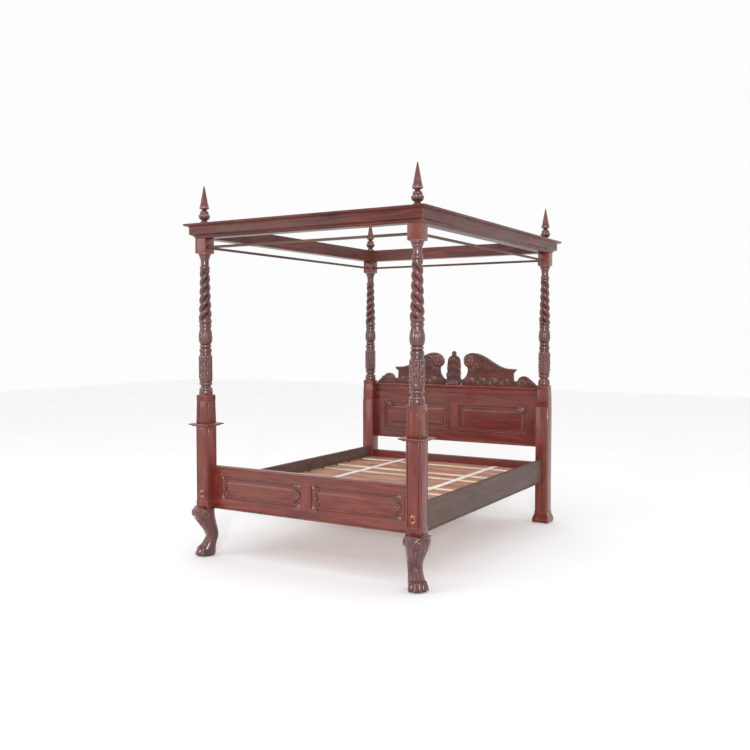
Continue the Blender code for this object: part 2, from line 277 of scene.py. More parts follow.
def planed(name, section, start, end, axis="X"):
    # a moulded bar: an outline pulled along X or Y
    alongX = axis == "X"
    piece = outlined(name, [(start, across, up) if alongX else (across, start, up)
                            for across, up in section])
    extrudeBy((end - start, 0, 0) if alongX else (0, end - start, 0))
    faceOutwards()
    closeEdit()
    return smoothOver(piece)


def cutPlane(piece, point, normal):
    # saws a piece through, keeps the side that the normal points away from
    openEdit(piece, "FACE")
    bpy.ops.mesh.bisect(plane_co=point, plane_no=normal, use_fill=True, clear_outer=True)
    closeEdit()


def beadRound(face, depth, low, tall, steps):
    # section points of a half-round bead that stands out from a face
    return [(face - depth * math.sin(math.pi * k / steps), low + tall * k / steps)
            for k in range(steps + 1)]


def profileFrom(cuts):
    # (radius, height) points from named cuts: line, run, bead, cove, round, ogee
    points = [cuts[0]]
    for kind, r1, z1, *bulge in cuts[1:]:
        r0, z0 = points[-1]
        if kind == "line":
            points.append((r1, z1))
            continue
        if kind == "run":  # a line in short steps, for carving
            count = max(1, round(abs(z1 - z0) / 0.0026))
        else:
            count = max(5, min(18, round(abs(z1 - z0) / 0.0022)))
        for k in range(1, count + 1):
            t = k / count
            wave = (1 - math.cos(math.pi * t)) / 2
            acrossBy, upBy, side = {
                "run": (t, t, 0), "ogee": (wave, t, 0), "bead": (wave, wave, 1),
                "cove": (wave, wave, -1),
                "round": (math.sin(math.pi / 2 * t), 1 - math.cos(math.pi / 2 * t), 0)}[kind]
            out = side * bulge[0] * math.sin(math.pi * t) if side else 0
            points.append((r0 + (r1 - r0) * acrossBy + out, z0 + (z1 - z0) * upBy))
    return points


def carve(piece, depthAt):
    # moves each corner towards or away from the Z axis, by angle and height
    for corner in piece.data.vertices:
        radius = math.hypot(corner.co.x, corner.co.y)
        if radius > 0.001:
            angle = math.atan2(corner.co.y, corner.co.x)
            grow = (radius + depthAt(angle, corner.co.z, radius)) / radius
            corner.co.x *= grow
            corner.co.y *= grow
    piece.data.update()


def drawn(name, points, closed, radii=(), **settings):
    # one curve through points, with its own thickness at each where radii are given
    curve = bpy.data.curves.new(name, "CURVE")
    for key, value in settings.items():
        setattr(curve, key, value)
    line = curve.splines.new("POLY")
    line.points.add(len(points) - 1)
    for spot, point in zip(line.points, points):
        spot.co = (*point, 1) if len(point) == 3 else (*point, 0, 1)
    for spot, radius in zip(line.points, radii):
        spot.radius = radius
    line.use_cyclic_u = closed
    piece = bpy.data.objects.new(name, curve)
    bpy.context.scene.collection.objects.link(piece)
    return piece


def meshed(piece, angle):
    # a curve made a mesh, its doubles merged and its faces outwards
    takeOnly(piece)
    bpy.ops.object.convert(target="MESH")
    piece = bpy.context.active_object
    openEdit(piece, "VERT")
    bpy.ops.mesh.remove_doubles(threshold=0.00001)
    faceOutwards()
    closeEdit()
    return smoothOver(settle(piece), angle)


def swept(path, section, forward, closed=True):
    # a moulding along a path in X and Z; the section is (across, forward)
    shape = drawn("section", section, True, dimensions="2D")
    piece = drawn("mould", path, closed, dimensions="2D", fill_mode="NONE", bevel_mode="OBJECT",
                  bevel_object=shape, use_fill_caps=not closed)
    piece.rotation_euler = (math.radians(90), 0, 0)
    piece.location = (0, forward, 0)
    piece = meshed(piece, 40)
    thrownOut(shape)
    return piece


def sawn(outline, thick, middle, edge):
    # a board with a shaped outline in X and Z, centred on a Y
    piece = drawn("board", outline, True, dimensions="2D", fill_mode="BOTH",
                  extrude=thick / 2 - edge, bevel_depth=edge, bevel_resolution=2, offset=-edge)
    piece.rotation_euler = (math.radians(90), 0, 0)
    piece.location = (0, middle, 0)
    return meshed(piece, 40)


def tendril(points, thickness, sides=3):
    # a round carved strand through points: one thickness, or one for each point
    radii = thickness if isinstance(thickness, list) else [thickness] * len(points)
    return meshed(drawn("tendril", points, False, radii, dimensions="3D", bevel_depth=1.0,
                        bevel_resolution=sides, use_fill_caps=True), 60)


def smoothPath(points, perStep=6):
    # a smooth run through points
    made = []
    for k in range(len(points) - 1):
        a, b, c = points[max(k - 1, 0)], points[k], points[k + 1]
        d = points[min(k + 2, len(points) - 1)]
        for step in range(perStep):
            t = step / perStep
            made.append(tuple(
                0.5 * (2 * q + (r - p) * t + (2 * p - 5 * q + 4 * r - s) * t * t
                       + (3 * q - p - 3 * r + s) * t ** 3)
                for p, q, r, s in zip(a, b, c, d)))
    return made + [tuple(points[-1])]


def ease(low, high, value):
    t = min(1.0, max(0.0, (value - low) / (high - low)))
    return t * t * (3 - 2 * t)


# camera, lamps and a white room
shot = {"lens": 41.52, "place": (2.8375, -4.9869, 1.3603), "tilt": 87.2545, "turn": 30.5608}
camera = bpy.data.objects.new("camera", bpy.data.cameras.new("camera"))
camera.data.lens = shot["lens"]
camera.data.sensor_width = 36
camera.data.clip_end = 60
camera.location = shot["place"]
camera.rotation_euler = (math.radians(shot["tilt"]), 0, math.radians(shot["turn"]))
bpy.context.scene.collection.objects.link(camera)
bpy.context.scene.camera = camera
bpy.context.scene.view_settings.view_transform = "Standard"

lampsAimAt = Vector((0, 0, 0.95))
lamps = {  # place, size, watts
    "flash": ((5.6, -10.3, 3.1), 0.70, 620),
    "softRight": ((4.8, -1.4, 3.4), 2.4, 8),
    "softLeft": ((-3.4, -4.6, 2.6), 2.4, 40),
    "top": ((0, 0.2, 4.8), 3.0, 22),
}
for lampName, (lampPlace, lampSize, watts) in lamps.items():
    lamp = bpy.data.lights.new(lampName, "AREA")
    lamp.size = lampSize
    lamp.energy = watts
    lampObject = bpy.data.objects.new(lampName, lamp)
    lampObject.location = lampPlace
    aim = lampsAimAt - Vector(lampPlace)
    lampObject.rotation_euler = aim.to_track_quat("-Z", "Y").to_euler()
    bpy.context.scene.collection.objects.link(lampObject)

world = bpy.data.worlds.new("studio")
world.use_nodes = True
world.node_tree.nodes["Background"].inputs["Color"].default_value = (1, 1, 1, 1)
world.node_tree.nodes["Background"].inputs["Strength"].default_value = 0.98
bpy.context.scene.world = world
print("camera and lights set")


# finishes
def tint(red, green, blue):
    # a paint-chart colour, 0 to 255, as light
    return tuple((c / 255) ** 2.2 for c in (red, green, blue)) + (1,)


def grey(value):
    return (value, value, value, 1)


def fed(tree, node, inputs):
    # links or sets a node's inputs
    for key, value in inputs.items():
        if hasattr(value, "is_output"):
            tree.links.new(value, node.inputs[key])
        else:
            node.inputs[key].default_value = value


def addNode(tree, kind, settings=None, inputs=None):
    node = tree.nodes.new("ShaderNode" + kind)
    for key, value in (settings or {}).items():
        setattr(node, key, value)
    fed(tree, node, inputs or {})
    return node


def newLook(name):
    look = bpy.data.materials.new(name)
    look.use_nodes = True
    tree = look.node_tree
    place = addNode(tree, "TexCoord").outputs["Object"]
    return look, tree, tree.nodes["Principled BSDF"], place


def noise(tree, place, scale, detail=2.0, **inputs):
    inputs.update(Vector=place, Scale=scale, Detail=detail)
    return addNode(tree, "TexNoise", inputs=inputs).outputs["Fac"]


def addRamp(tree, source, *stops):
    # stops are (position, colour), or (position, grey value)
    ramp = addNode(tree, "ValToRGB", inputs={"Fac": source})
    stops = [(at, grey(c) if isinstance(c, float) else c) for at, c in stops]
    ramp.color_ramp.elements[0].position, ramp.color_ramp.elements[0].color = stops[0]
    ramp.color_ramp.elements[1].position, ramp.color_ramp.elements[1].color = stops[-1]
    for position, colour in stops[1:-1]:
        ramp.color_ramp.elements.new(position).color = colour
    return ramp.outputs["Color"]


def addMix(tree, blend, share, first, second):
    # a colour mix has its factor at input 0, its colours at 6 and 7, its result at output 2
    mix = addNode(tree, "Mix", {"data_type": "RGBA", "blend_type": blend},
                  {0: share, 6: first, 7: second})
    return mix.outputs[2]


def bumped(tree, height, strength, distance):
    return addNode(tree, "Bump", inputs={"Strength": strength, "Distance": distance,
                                         "Height": height}).outputs["Normal"]


# in each kind, the lighter worn colour serves rubbed edges and painted highlights, deep serves wax
# and painted shade in hollows
timber = {
    "mahogany": {"dark": (78, 28, 25), "mid": (112, 41, 34), "light": (142, 62, 50),
                 "deep": (24, 7, 8), "wornAndHighlit": (214, 152, 134), "brown": (112, 62, 40),
                 "rough": (0.24, 0.40), "coat": 0.45, "coatRough": 0.10, "shine": 0.40,
                 "pores": 0.40, "bump": 0.12},
    "carving": {"dark": (46, 14, 14), "mid": (88, 30, 27), "light": (124, 54, 46),
                "deep": (18, 5, 6), "wornAndHighlit": (200, 142, 130), "brown": (92, 48, 34),
                "rough": (0.28, 0.40), "coat": 0.95, "coatRough": 0.22, "shine": 0.42,
                "pores": 0.40, "bump": 0.14},
    "crest": {"dark": (42, 15, 14), "mid": (76, 32, 28), "light": (106, 54, 46),
              "deep": (14, 5, 6), "wornAndHighlit": (166, 118, 106), "brown": (82, 54, 40),
              "rough": (0.28, 0.40), "coat": 0.60, "coatRough": 0.20, "shine": 0.40,
              "pores": 0.40, "bump": 0.14},
    "cornice": {"dark": (52, 20, 18), "mid": (88, 36, 30), "light": (120, 58, 48),
                "deep": (22, 7, 8), "wornAndHighlit": (186, 130, 114), "brown": (88, 54, 38),
                "rough": (0.28, 0.44), "coat": 0.16, "coatRough": 0.14, "shine": 0.30,
                "pores": 0.40, "bump": 0.12},
    "taupe": {"dark": (76, 54, 48), "mid": (94, 70, 63), "light": (108, 82, 74),
              "deep": (30, 18, 16), "wornAndHighlit": (158, 126, 112), "brown": (96, 76, 62),
              "rough": (0.44, 0.58), "coat": 0.10, "coatRough": 0.25, "shine": 0.28,
              "pores": 0.40, "bump": 0.12},
    "pine": {"dark": (152, 104, 84), "mid": (184, 138, 118), "light": (208, 168, 146),
             "deep": (100, 62, 46), "wornAndHighlit": (230, 204, 184), "brown": (176, 120, 84),
             "rough": (0.54, 0.70), "coat": 0.0, "coatRough": 0.3, "shine": 0.30,
             "pores": 0.30, "bump": 0.18},
    # pale pine for sawn slat edges: their own paler colour, with painted light where they face the
    # flash
    "sawnAndLitPine": {"dark": (214, 184, 160), "mid": (236, 216, 198), "light": (248, 236, 222),
                 "deep": (120, 82, 62), "wornAndHighlit": (250, 240, 228), "brown": (226, 196, 166),
                 "rough": (0.62, 0.80), "coat": 0.0, "coatRough": 0.3, "shine": 0.25,
                 "pores": 0.40, "bump": 0.22},
}


def woodLook(name, kind, axis, seed=0.0, carved=False):
    wood = timber[kind]
    look, tree, shader, place = newLook(name)

    def pattern(across, lengthways, scale, detail, distortion, shift):
        # slow along the grain, quick across it
        mapped = addNode(tree, "Mapping", inputs={
            "Vector": place, "Location": (seed + shift, shift * 0.7, seed * 0.6),
            "Scale": [lengthways if a == axis else across for a in "XYZ"]})
        return noise(tree, mapped.outputs["Vector"], scale, detail, Roughness=0.62,
                     Distortion=distortion)

    figure = pattern(9, 0.9, 3.2, 6, 1.1, 0.0)       # broad growth bands
    streaks = pattern(60, 2.4, 2.6, 5, 0.3, 3.1)     # fine dark streaks
    pores = pattern(260, 9, 2.2, 2, 0.0, 5.7)        # open pores
    cloud = pattern(1.4, 1.0, 2.0, 3, 0.5, 8.3)      # stain lying thicker and thinner
    patches = pattern(2.2, 0.8, 2.4, 2, 0.8, 11.9)   # boards from different logs
    colour = addRamp(tree, figure, (0.30, tint(*wood["dark"])), (0.52, tint(*wood["mid"])),
                     (0.74, tint(*wood["light"])))
    colour = addMix(tree, "MIX", addRamp(tree, patches, (0.46, 0.0), (0.64, 0.6)), colour,
                    tint(*wood["brown"]))
    for share, source, *stops in ((0.42, streaks, (0.36, 0.52), (0.60, 1.0)),
                                  (wood["pores"], pores, (0.34, 0.25), (0.47, 1.0)),
                                  (0.6, cloud, (0.3, 0.72), (0.7, 1.12))):
        colour = addMix(tree, "MULTIPLY", share, colour, addRamp(tree, source, *stops))
    # polish rubbed thin on the high edges, made lighter as a painted highlight; dark wax in the
    # hollows, deepened as painted shade
    if carved:
        edge = addNode(tree, "NewGeometry").outputs["Pointiness"]
        # pointiness: ridges lighter as wear and painted highlight, hollows darker as wax and
        # painted shade
        wearAndHighlight = addRamp(tree, edge, (0.518, 0.0), (0.580, 0.58))
        waxAndShade = addRamp(tree, edge, (0.440, 0.96), (0.503, 0.0))
    else:
        # bevel against true normal finds edges, lighter as wear and painted highlight; local
        # occlusion darkens corners and recesses as painted shade with some wax
        soft = addNode(tree, "Bevel", {"samples": 4}, {"Radius": 0.0022}).outputs["Normal"]
        flat = addNode(tree, "NewGeometry").outputs["Normal"]
        match = addNode(tree, "VectorMath", {"operation": "DOT_PRODUCT"}, {0: soft, 1: flat})
        hollow = addNode(tree, "AmbientOcclusion", {"samples": 4, "only_local": True},
                         {"Distance": 0.008}).outputs["AO"]
        wearAndHighlight = addMix(tree, "MULTIPLY", 1.0,
                        addRamp(tree, match.outputs["Value"], (0.86, 0.45), (0.985, 0.0)),
                        addRamp(tree, hollow, (0.70, 0.0), (0.95, 1.0)))
        waxAndShade = addRamp(tree, hollow, (0.20, 0.75), (0.74, 0.0))
    # lighter colour on edges is wear and painted highlight, the deep colour in hollows is wax and
    # painted shade
    colour = addMix(tree, "MIX", wearAndHighlight, colour, tint(*wood["wornAndHighlit"]))
    colour = addMix(tree, "MIX", waxAndShade, colour, tint(*wood["deep"]))
    height = addMix(tree, "MULTIPLY", 0.5, addRamp(tree, pores, (0.34, 0.0), (0.47, 1.0)),
                    addRamp(tree, streaks, (0.3, 0.4), (0.7, 1.0)))
    smoothest, roughest = wood["rough"]
    fed(tree, shader, {
        "Base Color": colour, "Normal": bumped(tree, height, wood["bump"], 0.0006),
        "Roughness": addRamp(tree, cloud, (0.3, smoothest), (0.7, roughest)),
        "Specular IOR Level": wood["shine"], "Coat Weight": wood["coat"],
        "Coat Roughness": wood["coatRough"]})
    return look


mahogany = {axis: woodLook("mahogany" + axis, "mahogany", axis, 1.7 * k)
            for k, axis in enumerate("XYZ")}
corniceWood = {axis: woodLook("cornice" + axis, "cornice", axis, 4.3 + k)
               for k, axis in enumerate("XY")}
carvedMahogany = woodLook("mahoganyCarved", "carving", "Z", 6.1, carved=True)
carvedAcross = woodLook("mahoganyCarvedAcross", "carving", "X", 7.9, carved=True)
crestCarved = woodLook("mahoganyCrest", "crest", "X", 9.4, carved=True)
taupe = {axis: woodLook("darkMahogany" + axis, "taupe", axis, 2.3 * k)
         for k, axis in enumerate("XY")}
pineAlong = woodLook("pineY", "pine", "Y", 0.9)


def metalLook(name, base, tarnish, rough):
    look, tree, shader, place = newLook(name)
    spots = noise(tree, place, 130.0, 6.0, Roughness=0.65)
    rubs = noise(tree, place, 900.0, 3.0)
    edge = addNode(tree, "NewGeometry").outputs["Pointiness"]
    colour = addRamp(tree, spots, (0.34, tint(*tarnish)), (0.62, tint(*base)))
    colour = addMix(tree, "MIX", addRamp(tree, edge, (0.36, 0.7), (0.48, 0.0)), colour,
                    tint(*[c * 0.4 for c in tarnish]))
    fed(tree, shader, {"Base Color": colour, "Metallic": 1.0,
                       "Roughness": addRamp(tree, spots, (0.3, rough[1]), (0.7, rough[0])),
                       "Normal": bumped(tree, rubs, 0.08, 0.0003)})
    return look


brass = metalLook("brass", (222, 162, 118), (164, 92, 62), (0.30, 0.52))
steel = metalLook("steel", (150, 146, 140), (84, 72, 64), (0.30, 0.60))


def webbingLook():
    look, tree, shader, place = newLook("webbing")
    warp, weft = [addNode(tree, "TexWave", {"bands_direction": way}, {
        "Vector": place, "Scale": scale, "Distortion": 0.3, "Detail": 1.0}).outputs["Fac"]
        for way, scale in (("X", 140.0), ("Y", 190.0))]
    weave = addNode(tree, "Math", {"operation": "MAXIMUM"}, {0: warp, 1: weft}).outputs[0]
    soil = noise(tree, place, 14.0, 5.0, Roughness=0.7)
    colour = addRamp(tree, weave, (0.25, tint(196, 190, 182)), (0.8, tint(246, 244, 240)))
    colour = addMix(tree, "MULTIPLY", 0.6, colour,
                    addRamp(tree, soil, (0.34, tint(206, 196, 184)), (0.62, 1.0)))
    fed(tree, shader, {"Base Color": colour, "Sheen Weight": 0.25,
                       "Roughness": addRamp(tree, weave, (0.2, 0.95), (0.8, 0.78)),
                       "Normal": bumped(tree, weave, 0.5, 0.0005)})
    return look


webbing = webbingLook()


def floorLook():
    look, tree, shader, place = newLook("paleFloor")
    cloud = noise(tree, place, 0.8)
    fed(tree, shader, {"Base Color": addRamp(tree, cloud, (0.3, 0.92), (0.7, 0.94)),
                       "Roughness": 0.9})
    return look


floor = finished(started("studioFloor", "plane", size=30, location=(0, 0, 0)), floorLook())
floor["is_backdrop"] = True
print("finishes mixed")


# turned and carved upper posts: heights from the floor, in metres
post = {"steps": 120, "twistLow": 1.430, "twistHigh": 1.742, "pitch": 0.159, "strands": 3,
        "groove": 0.36, "leafLow": 1.090, "leafHigh": 1.223, "leafRow": 0.0270, "leafRows": 5,
        "leaves": 8, "leafDeep": 0.0058, "petalLow": 1.2965, "petalHigh": 1.382, "petals": 8,
        "petalDeep": 0.0040, "block": 0.040, "blockLow": 1.8455, "hole": 0.0064,
        "holeLow": 1.8820, "holeHigh": 1.95,
        "tenon": 0.016, "tenonLow": 0.930, "foot": 0.9886}

postCuts = [
    (0.0, 0.9885), ("line", 0.0385, 0.9885), ("bead", 0.0385, 1.0155, 0.0035),
    ("line", 0.0360, 1.0155), ("bead", 0.0360, 1.0305, 0.0050), ("line", 0.0335, 1.0305),
    ("cove", 0.0340, 1.0475, 0.0035), ("line", 0.0355, 1.0475), ("bead", 0.0355, 1.0645, 0.0045),
    ("line", 0.0325, 1.0645), ("round", 0.0395, 1.080), ("line", 0.0405, 1.088),
    ("run", 0.0405, 1.224), ("round", 0.0360, 1.230), ("line", 0.0330, 1.236),
    ("line", 0.0340, 1.244), ("bead", 0.0340, 1.270, 0.0035), ("line", 0.0305, 1.274),
    ("line", 0.0305, 1.277), ("bead", 0.0305, 1.293, 0.0055), ("line", 0.0290, 1.295),
    ("round", 0.0400, 1.334), ("ogee", 0.0335, 1.392), ("line", 0.0335, 1.398),
    ("bead", 0.0335, 1.418, 0.0035), ("line", 0.0340, 1.422), ("line", 0.0400, 1.430),
    ("run", 0.0330, 1.600), ("run", 0.0295, 1.742), ("line", 0.0265, 1.748),
    ("bead", 0.0270, 1.766, 0.0040), ("cove", 0.0280, 1.812, 0.0030),
    ("bead", 0.0300, 1.825, 0.0020), ("round", 0.0375, 1.8455), ("line", 0.0, 1.8455)]


def leafRelief(across, up):
    # height of a carved leaf: across runs -1 to 1, up runs 0 to 1, and -1 is off the leaf
    if not 0 <= up <= 1:
        return -1.0
    width = (1 - up ** 3) ** 0.5 * (0.90 + 0.10 * abs(math.cos(3.0 * math.pi * up)))
    if abs(across) >= width:
        return -1.0
    rim = ease(0.0, 0.20, width - abs(across))
    rib = 0.42 * math.exp(-(across / 0.10) ** 2)
    veins = 0.20 * (0.5 + 0.5 * math.cos(2 * math.pi * (3.4 * up - 1.5 * abs(across))))
    return rim * (0.25 + 0.75 * up - rib - veins * (1 - 0.4 * up))


def acrossLeaf(angle, count, shift, width):
    # how far an angle lies across the nearest of so many leaves, -1 to 1 at its edges
    turn = angle * count / (2 * math.pi) + shift
    return 2.0 * (turn - math.floor(turn) - 0.5) / width


def postRelief(angle, height, radius):
    # the column stays plain towards +X, which is turned in over the bed
    carvedShare = ease(math.radians(48), math.radians(66), abs(angle))
    if post["leafLow"] < height < post["leafHigh"] and carvedShare > 0:
        best = -0.35
        for row in range(-1, post["leafRows"]):
            up = (height - post["leafLow"] - row * post["leafRow"]) / (1.55 * post["leafRow"])
            across = acrossLeaf(angle, post["leaves"], 0.5 if row % 2 else 0.0, 0.98)
            best = max(best, leafRelief(across, up) * 0.9)
        ends = ease(post["leafLow"], post["leafLow"] + 0.006, height)
        return post["leafDeep"] * carvedShare * ends * (best - 0.30)
    if post["petalLow"] < height < post["petalHigh"]:
        up = (height - post["petalLow"]) / (post["petalHigh"] - post["petalLow"])
        best = max(-0.2, leafRelief(acrossLeaf(angle, post["petals"], 0.0, 0.96), up * 1.22),
                   leafRelief(acrossLeaf(angle, post["petals"], 0.5, 0.96), up) - 0.075)
        return post["petalDeep"] * (best - 0.2) * ease(0.0, 0.08, up)
    if post["twistLow"] <= height <= post["twistHigh"]:
        strand = abs(math.cos(post["strands"] * angle / 2))
        run = min(ease(post["twistLow"], post["twistLow"] + 0.012, height),
                  ease(post["twistHigh"], post["twistHigh"] - 0.010, height))
        return -radius * post["groove"] * (1 - strand ** 0.85) * run + 0.0006
    return 0.0


def winding(piece, hand):
    # turns the rope section round by its own height, so that the carved strands climb
    for corner in piece.data.vertices:
        up = min(max(corner.co.z, post["twistLow"]), post["twistHigh"]) - post["twistLow"]
        turn = hand * 2 * math.pi * up / post["pitch"]
        x, y = corner.co.x, corner.co.y
        corner.co.x = x * math.cos(turn) - y * math.sin(turn)
        corner.co.y = x * math.sin(turn) + y * math.cos(turn)
    piece.data.update()


def topBlock(name):
    # the square head of the post, with a hollow worked under its lower edge
    half = post["block"]
    piece = block(name, (-half, -half, post["blockLow"]), (half, half, bed["cornice"] - 0.0004),
                  0.0018, 3)
    openEdit(piece, "FACE")
    pickFaces(lambda middle, normal: normal.z < -0.9)
    insetBy(0.004, (0, 0, -0.0030))
    insetBy(0.0025, (0, 0, 0.0025))
    closeEdit()
    bored(piece, (0, 0, (post["holeLow"] + post["holeHigh"]) / 2), post["hole"],
          post["holeHigh"] - post["holeLow"])
    return smoothOver(piece, 30)


postMaster = turned("postMaster", profileFrom(postCuts), post["steps"], 38)
carve(postMaster, postRelief)
finished(smoothOver(postMaster, 38), carvedMahogany)
tenonMaster = turned("tenonMaster", [(0, post["tenonLow"]), (post["tenon"], post["tenonLow"]),
                                     (post["tenon"], post["foot"]), (0, post["foot"])], 32)
blockMaster = topBlock("blockMaster")
finished(tenonMaster, mahogany["Z"])
finished(blockMaster, mahogany["Z"])
for end, way in footHead:
    for side, hand in leftRight:
        # the plain side looks in across the bed, at the foot posts more to the head
        facing = math.atan2(1.0 if way < 0 else 0.55, -hand)
        spot = (hand * bed["postX"], way * bed["postY"], 0)
        shaft = copied(postMaster, "shaft", standing((0, 0, 0), facing))
        winding(shaft, -hand)
        shaft.data.transform(standing(spot))
        parts = [shaft, copied(tenonMaster, "tenon", standing(spot)),
                 copied(blockMaster, "head", standing(spot))]
        shown(joined(f"carved_post_{end}_{side}", parts), "bedstead", "mahogany", None,
              f"{end}_post_upper_{side}")
thrownOut(postMaster, tenonMaster, blockMaster)
print("upper posts carved")


# spire finials, each with its pin
finial = {"steps": 96, "lobes": 8, "lobeLow": 2.044, "lobeHigh": 2.092, "lobeDepth": 0.0042}
finialCuts = [
    (0.0, 1.885), ("line", 0.0050, 1.885), ("line", 0.0060, 1.887), ("line", 0.0060, 2.0184),
    ("line", 0.0275, 2.0184), ("bead", 0.0265, 2.0275, 0.0020), ("line", 0.0245, 2.0280),
    ("bead", 0.0215, 2.0345, 0.0015), ("cove", 0.0165, 2.0440, 0.0010), ("line", 0.0195, 2.0450),
    ("round", 0.0350, 2.0720), ("round", 0.0260, 2.0900), ("line", 0.0250, 2.0930),
    ("bead", 0.0180, 2.0980, 0.0015), ("cove", 0.0140, 2.1050, 0.0010), ("line", 0.0250, 2.1090),
    ("bead", 0.0285, 2.1200, 0.0025), ("line", 0.0272, 2.1215), ("ogee", 0.0205, 2.1560),
    ("line", 0.0160, 2.1800), ("line", 0.0108, 2.2060), ("line", 0.0058, 2.2320),
    ("line", 0.0030, 2.2450), ("line", 0.0016, 2.2488), ("line", 0.0, 2.2498)]


def finialRelief(angle, height, radius):
    if not finial["lobeLow"] < height < finial["lobeHigh"]:
        return 0.0
    up = (height - finial["lobeLow"]) / (finial["lobeHigh"] - finial["lobeLow"])
    lobe = abs(math.cos(finial["lobes"] * angle / 2))
    return -finial["lobeDepth"] * (1 - lobe ** 0.8) * math.sin(math.pi * min(1, up * 1.05)) ** 0.6


finialMaster = turned("finialMaster", profileFrom(finialCuts), finial["steps"], 38)
carve(finialMaster, finialRelief)
smoothOver(finialMaster, 38)
for end, way in footHead:
    for side, hand in leftRight:
        spot = (hand * bed["postX"], way * bed["postY"], 0)
        spire = copied(finialMaster, f"spire_finial_{end}_{side}",
                       standing(spot, 0.2 + 0.7 * hand * way))
        shown(spire, f"finial_{end}_{side}", "mahogany", carvedMahogany, f"finial_{end}_{side}")
thrownOut(finialMaster)
print("finials turned")


# cornice: four mitred mouldings that lift off together
cornice = {"reach": 0.0905, "holeLow": 1.90, "holeHigh": 2.05}
corniceCuts = [  # outwards from the post's axis, and up
    (-0.030, 1.9324), (0.0385, 1.9324), (0.0395, 1.9350), (0.0420, 1.9385), (0.0430, 1.9410),
    (0.0450, 1.9412), (0.0462, 1.9440), (0.0490, 1.9475), (0.0535, 1.9500), (0.0590, 1.9515),
    (0.0630, 1.9535), (0.0650, 1.9560), (0.0650, 1.9940), (0.0660, 1.9975), (0.0690, 2.0005),
    (0.0740, 2.0022), (0.0790, 2.0030), (0.0800, 2.0045), (0.0860, 2.0050), (0.0890, 2.0066),
    (0.0899, 2.0095), (0.0899, 2.0140), (0.0888, 2.0168), (0.0862, 2.0178), (-0.030, 2.0178)]


def corniceRail(side, way, axis):
    # runs along an axis at one edge of the bed, sawn through the corners' diagonals
    flip = 1 if axis == "X" else -1
    long, across = (bed["postX"], bed["postY"])[::flip]
    rail = planed(f"cornice_moulding_{side}", [(way * (across + out), up)
                                               for out, up in corniceCuts],
                  -long - cornice["reach"], long + cornice["reach"], axis)
    for end in (-1, 1):
        cutPlane(rail, (*(end * long, way * across)[::flip], 0), (*(end, -way)[::flip], 0))
    for end in (-1, 1):
        bored(rail, (*(end * long, way * across)[::flip],
                     (cornice["holeLow"] + cornice["holeHigh"]) / 2), post["hole"],
              cornice["holeHigh"] - cornice["holeLow"])
    shown(smoothOver(rail, 30), "canopy", "mahogany", corniceWood[axis], f"cornice_rail_{side}")


for side, way in footHead:
    corniceRail(side, way, "X")
for side, hand in leftRight:
    corniceRail(side, hand, "Y")
print("cornice planed")


# curtain rods with turned sockets against the post blocks
rod = {"radius": 0.0079, "socket": 0.0135, "socketLong": 0.016}


def curtainRod(name, length):
    half, wide, thin = length / 2, rod["socket"], rod["radius"]
    ends = [(0, 0), (wide, 0), (wide, 0.004), (wide - 0.002, 0.0055), (wide - 0.0025, 0.010),
            (wide - 0.001, 0.0115), (wide - 0.001, 0.0145), (thin, rod["socketLong"])]
    profile = [(r, z - half) for r, z in ends]
    profile += [(thin, -half + length * k / 12) for k in range(1, 12)]
    profile += [(r, half - z) for r, z in reversed(ends)]
    return turned(name, profile, 28, 35)


for side, axis, lean in (("foot", "X", (0, 90, 0)), ("head", "X", (0, 90, 0)),
                         ("left", "Y", (90, 0, 0)), ("right", "Y", (90, 0, 0))):
    low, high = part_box(f"curtain_rod_{side}")
    pole = curtainRod(f"curtain_pole_{side}", max(high - low))
    shown(laid(pole, (low + high) / 2, lean), "bedstead", "dark_mahogany", taupe[axis],
          f"curtain_rod_{side}")
print("curtain poles fitted")


# carving stock: one leaf and one rosette, copied wherever they are needed
def carvedLeaf(name, fine=22):
    # a leaf 1 long up Z and 0.5 wide, its relief towards -Y
    piece = started(name, "grid", x_subdivisions=fine, y_subdivisions=int(fine * 1.6), size=1,
                    location=(0, 0, 0.5), rotation=(math.radians(90), 0, 0))
    openEdit(piece, "FACE")
    pickFaces(lambda middle, normal: leafRelief(middle.x / 0.5, middle.z) < -0.9)
    bpy.ops.mesh.delete(type="FACE")
    closeEdit()
    for corner in piece.data.vertices:
        across, up = corner.co.x / 0.5, min(1.0, max(0.0, corner.co.z))
        relief = max(-0.05, leafRelief(across * 0.97, up * 0.995))
        corner.co.x *= 0.5
        corner.co.y = -0.09 * relief - 0.10 * up * up
    useModifier(piece, "SOLIDIFY", thickness=0.05, offset=-1)
    return smoothOver(piece, 50)


def rosette(name, petals=7):
    parts = []
    for k in range(petals):
        petal = ball((0.62, -0.10, 0), (0.36, 0.20, 0.25), 10)
        petal.data.transform(Matrix.Rotation(2 * math.pi * k / petals, 4, "Y"))
        parts.append(petal)
    parts.append(ball((0, -0.20, 0), (0.30, 0.22, 0.30), 12))
    return smoothOver(joined(name, parts), 60)


leafStock = carvedLeaf("leafStock")
rosetteStock = rosette("rosetteStock")


def placed(stock, place, turn=0.0, size=1.0, wide=1.0, deep=1.0, about=Matrix.Identity(4)):
    # a copy of a carving, turned in the board's face (degrees, clockwise from upright)
    return copied(stock, "carving", standing(place) @ about
                  @ Matrix.Rotation(math.radians(turn), 4, "Y")
                  @ Matrix.Diagonal((size * wide, size * deep, size, 1)))


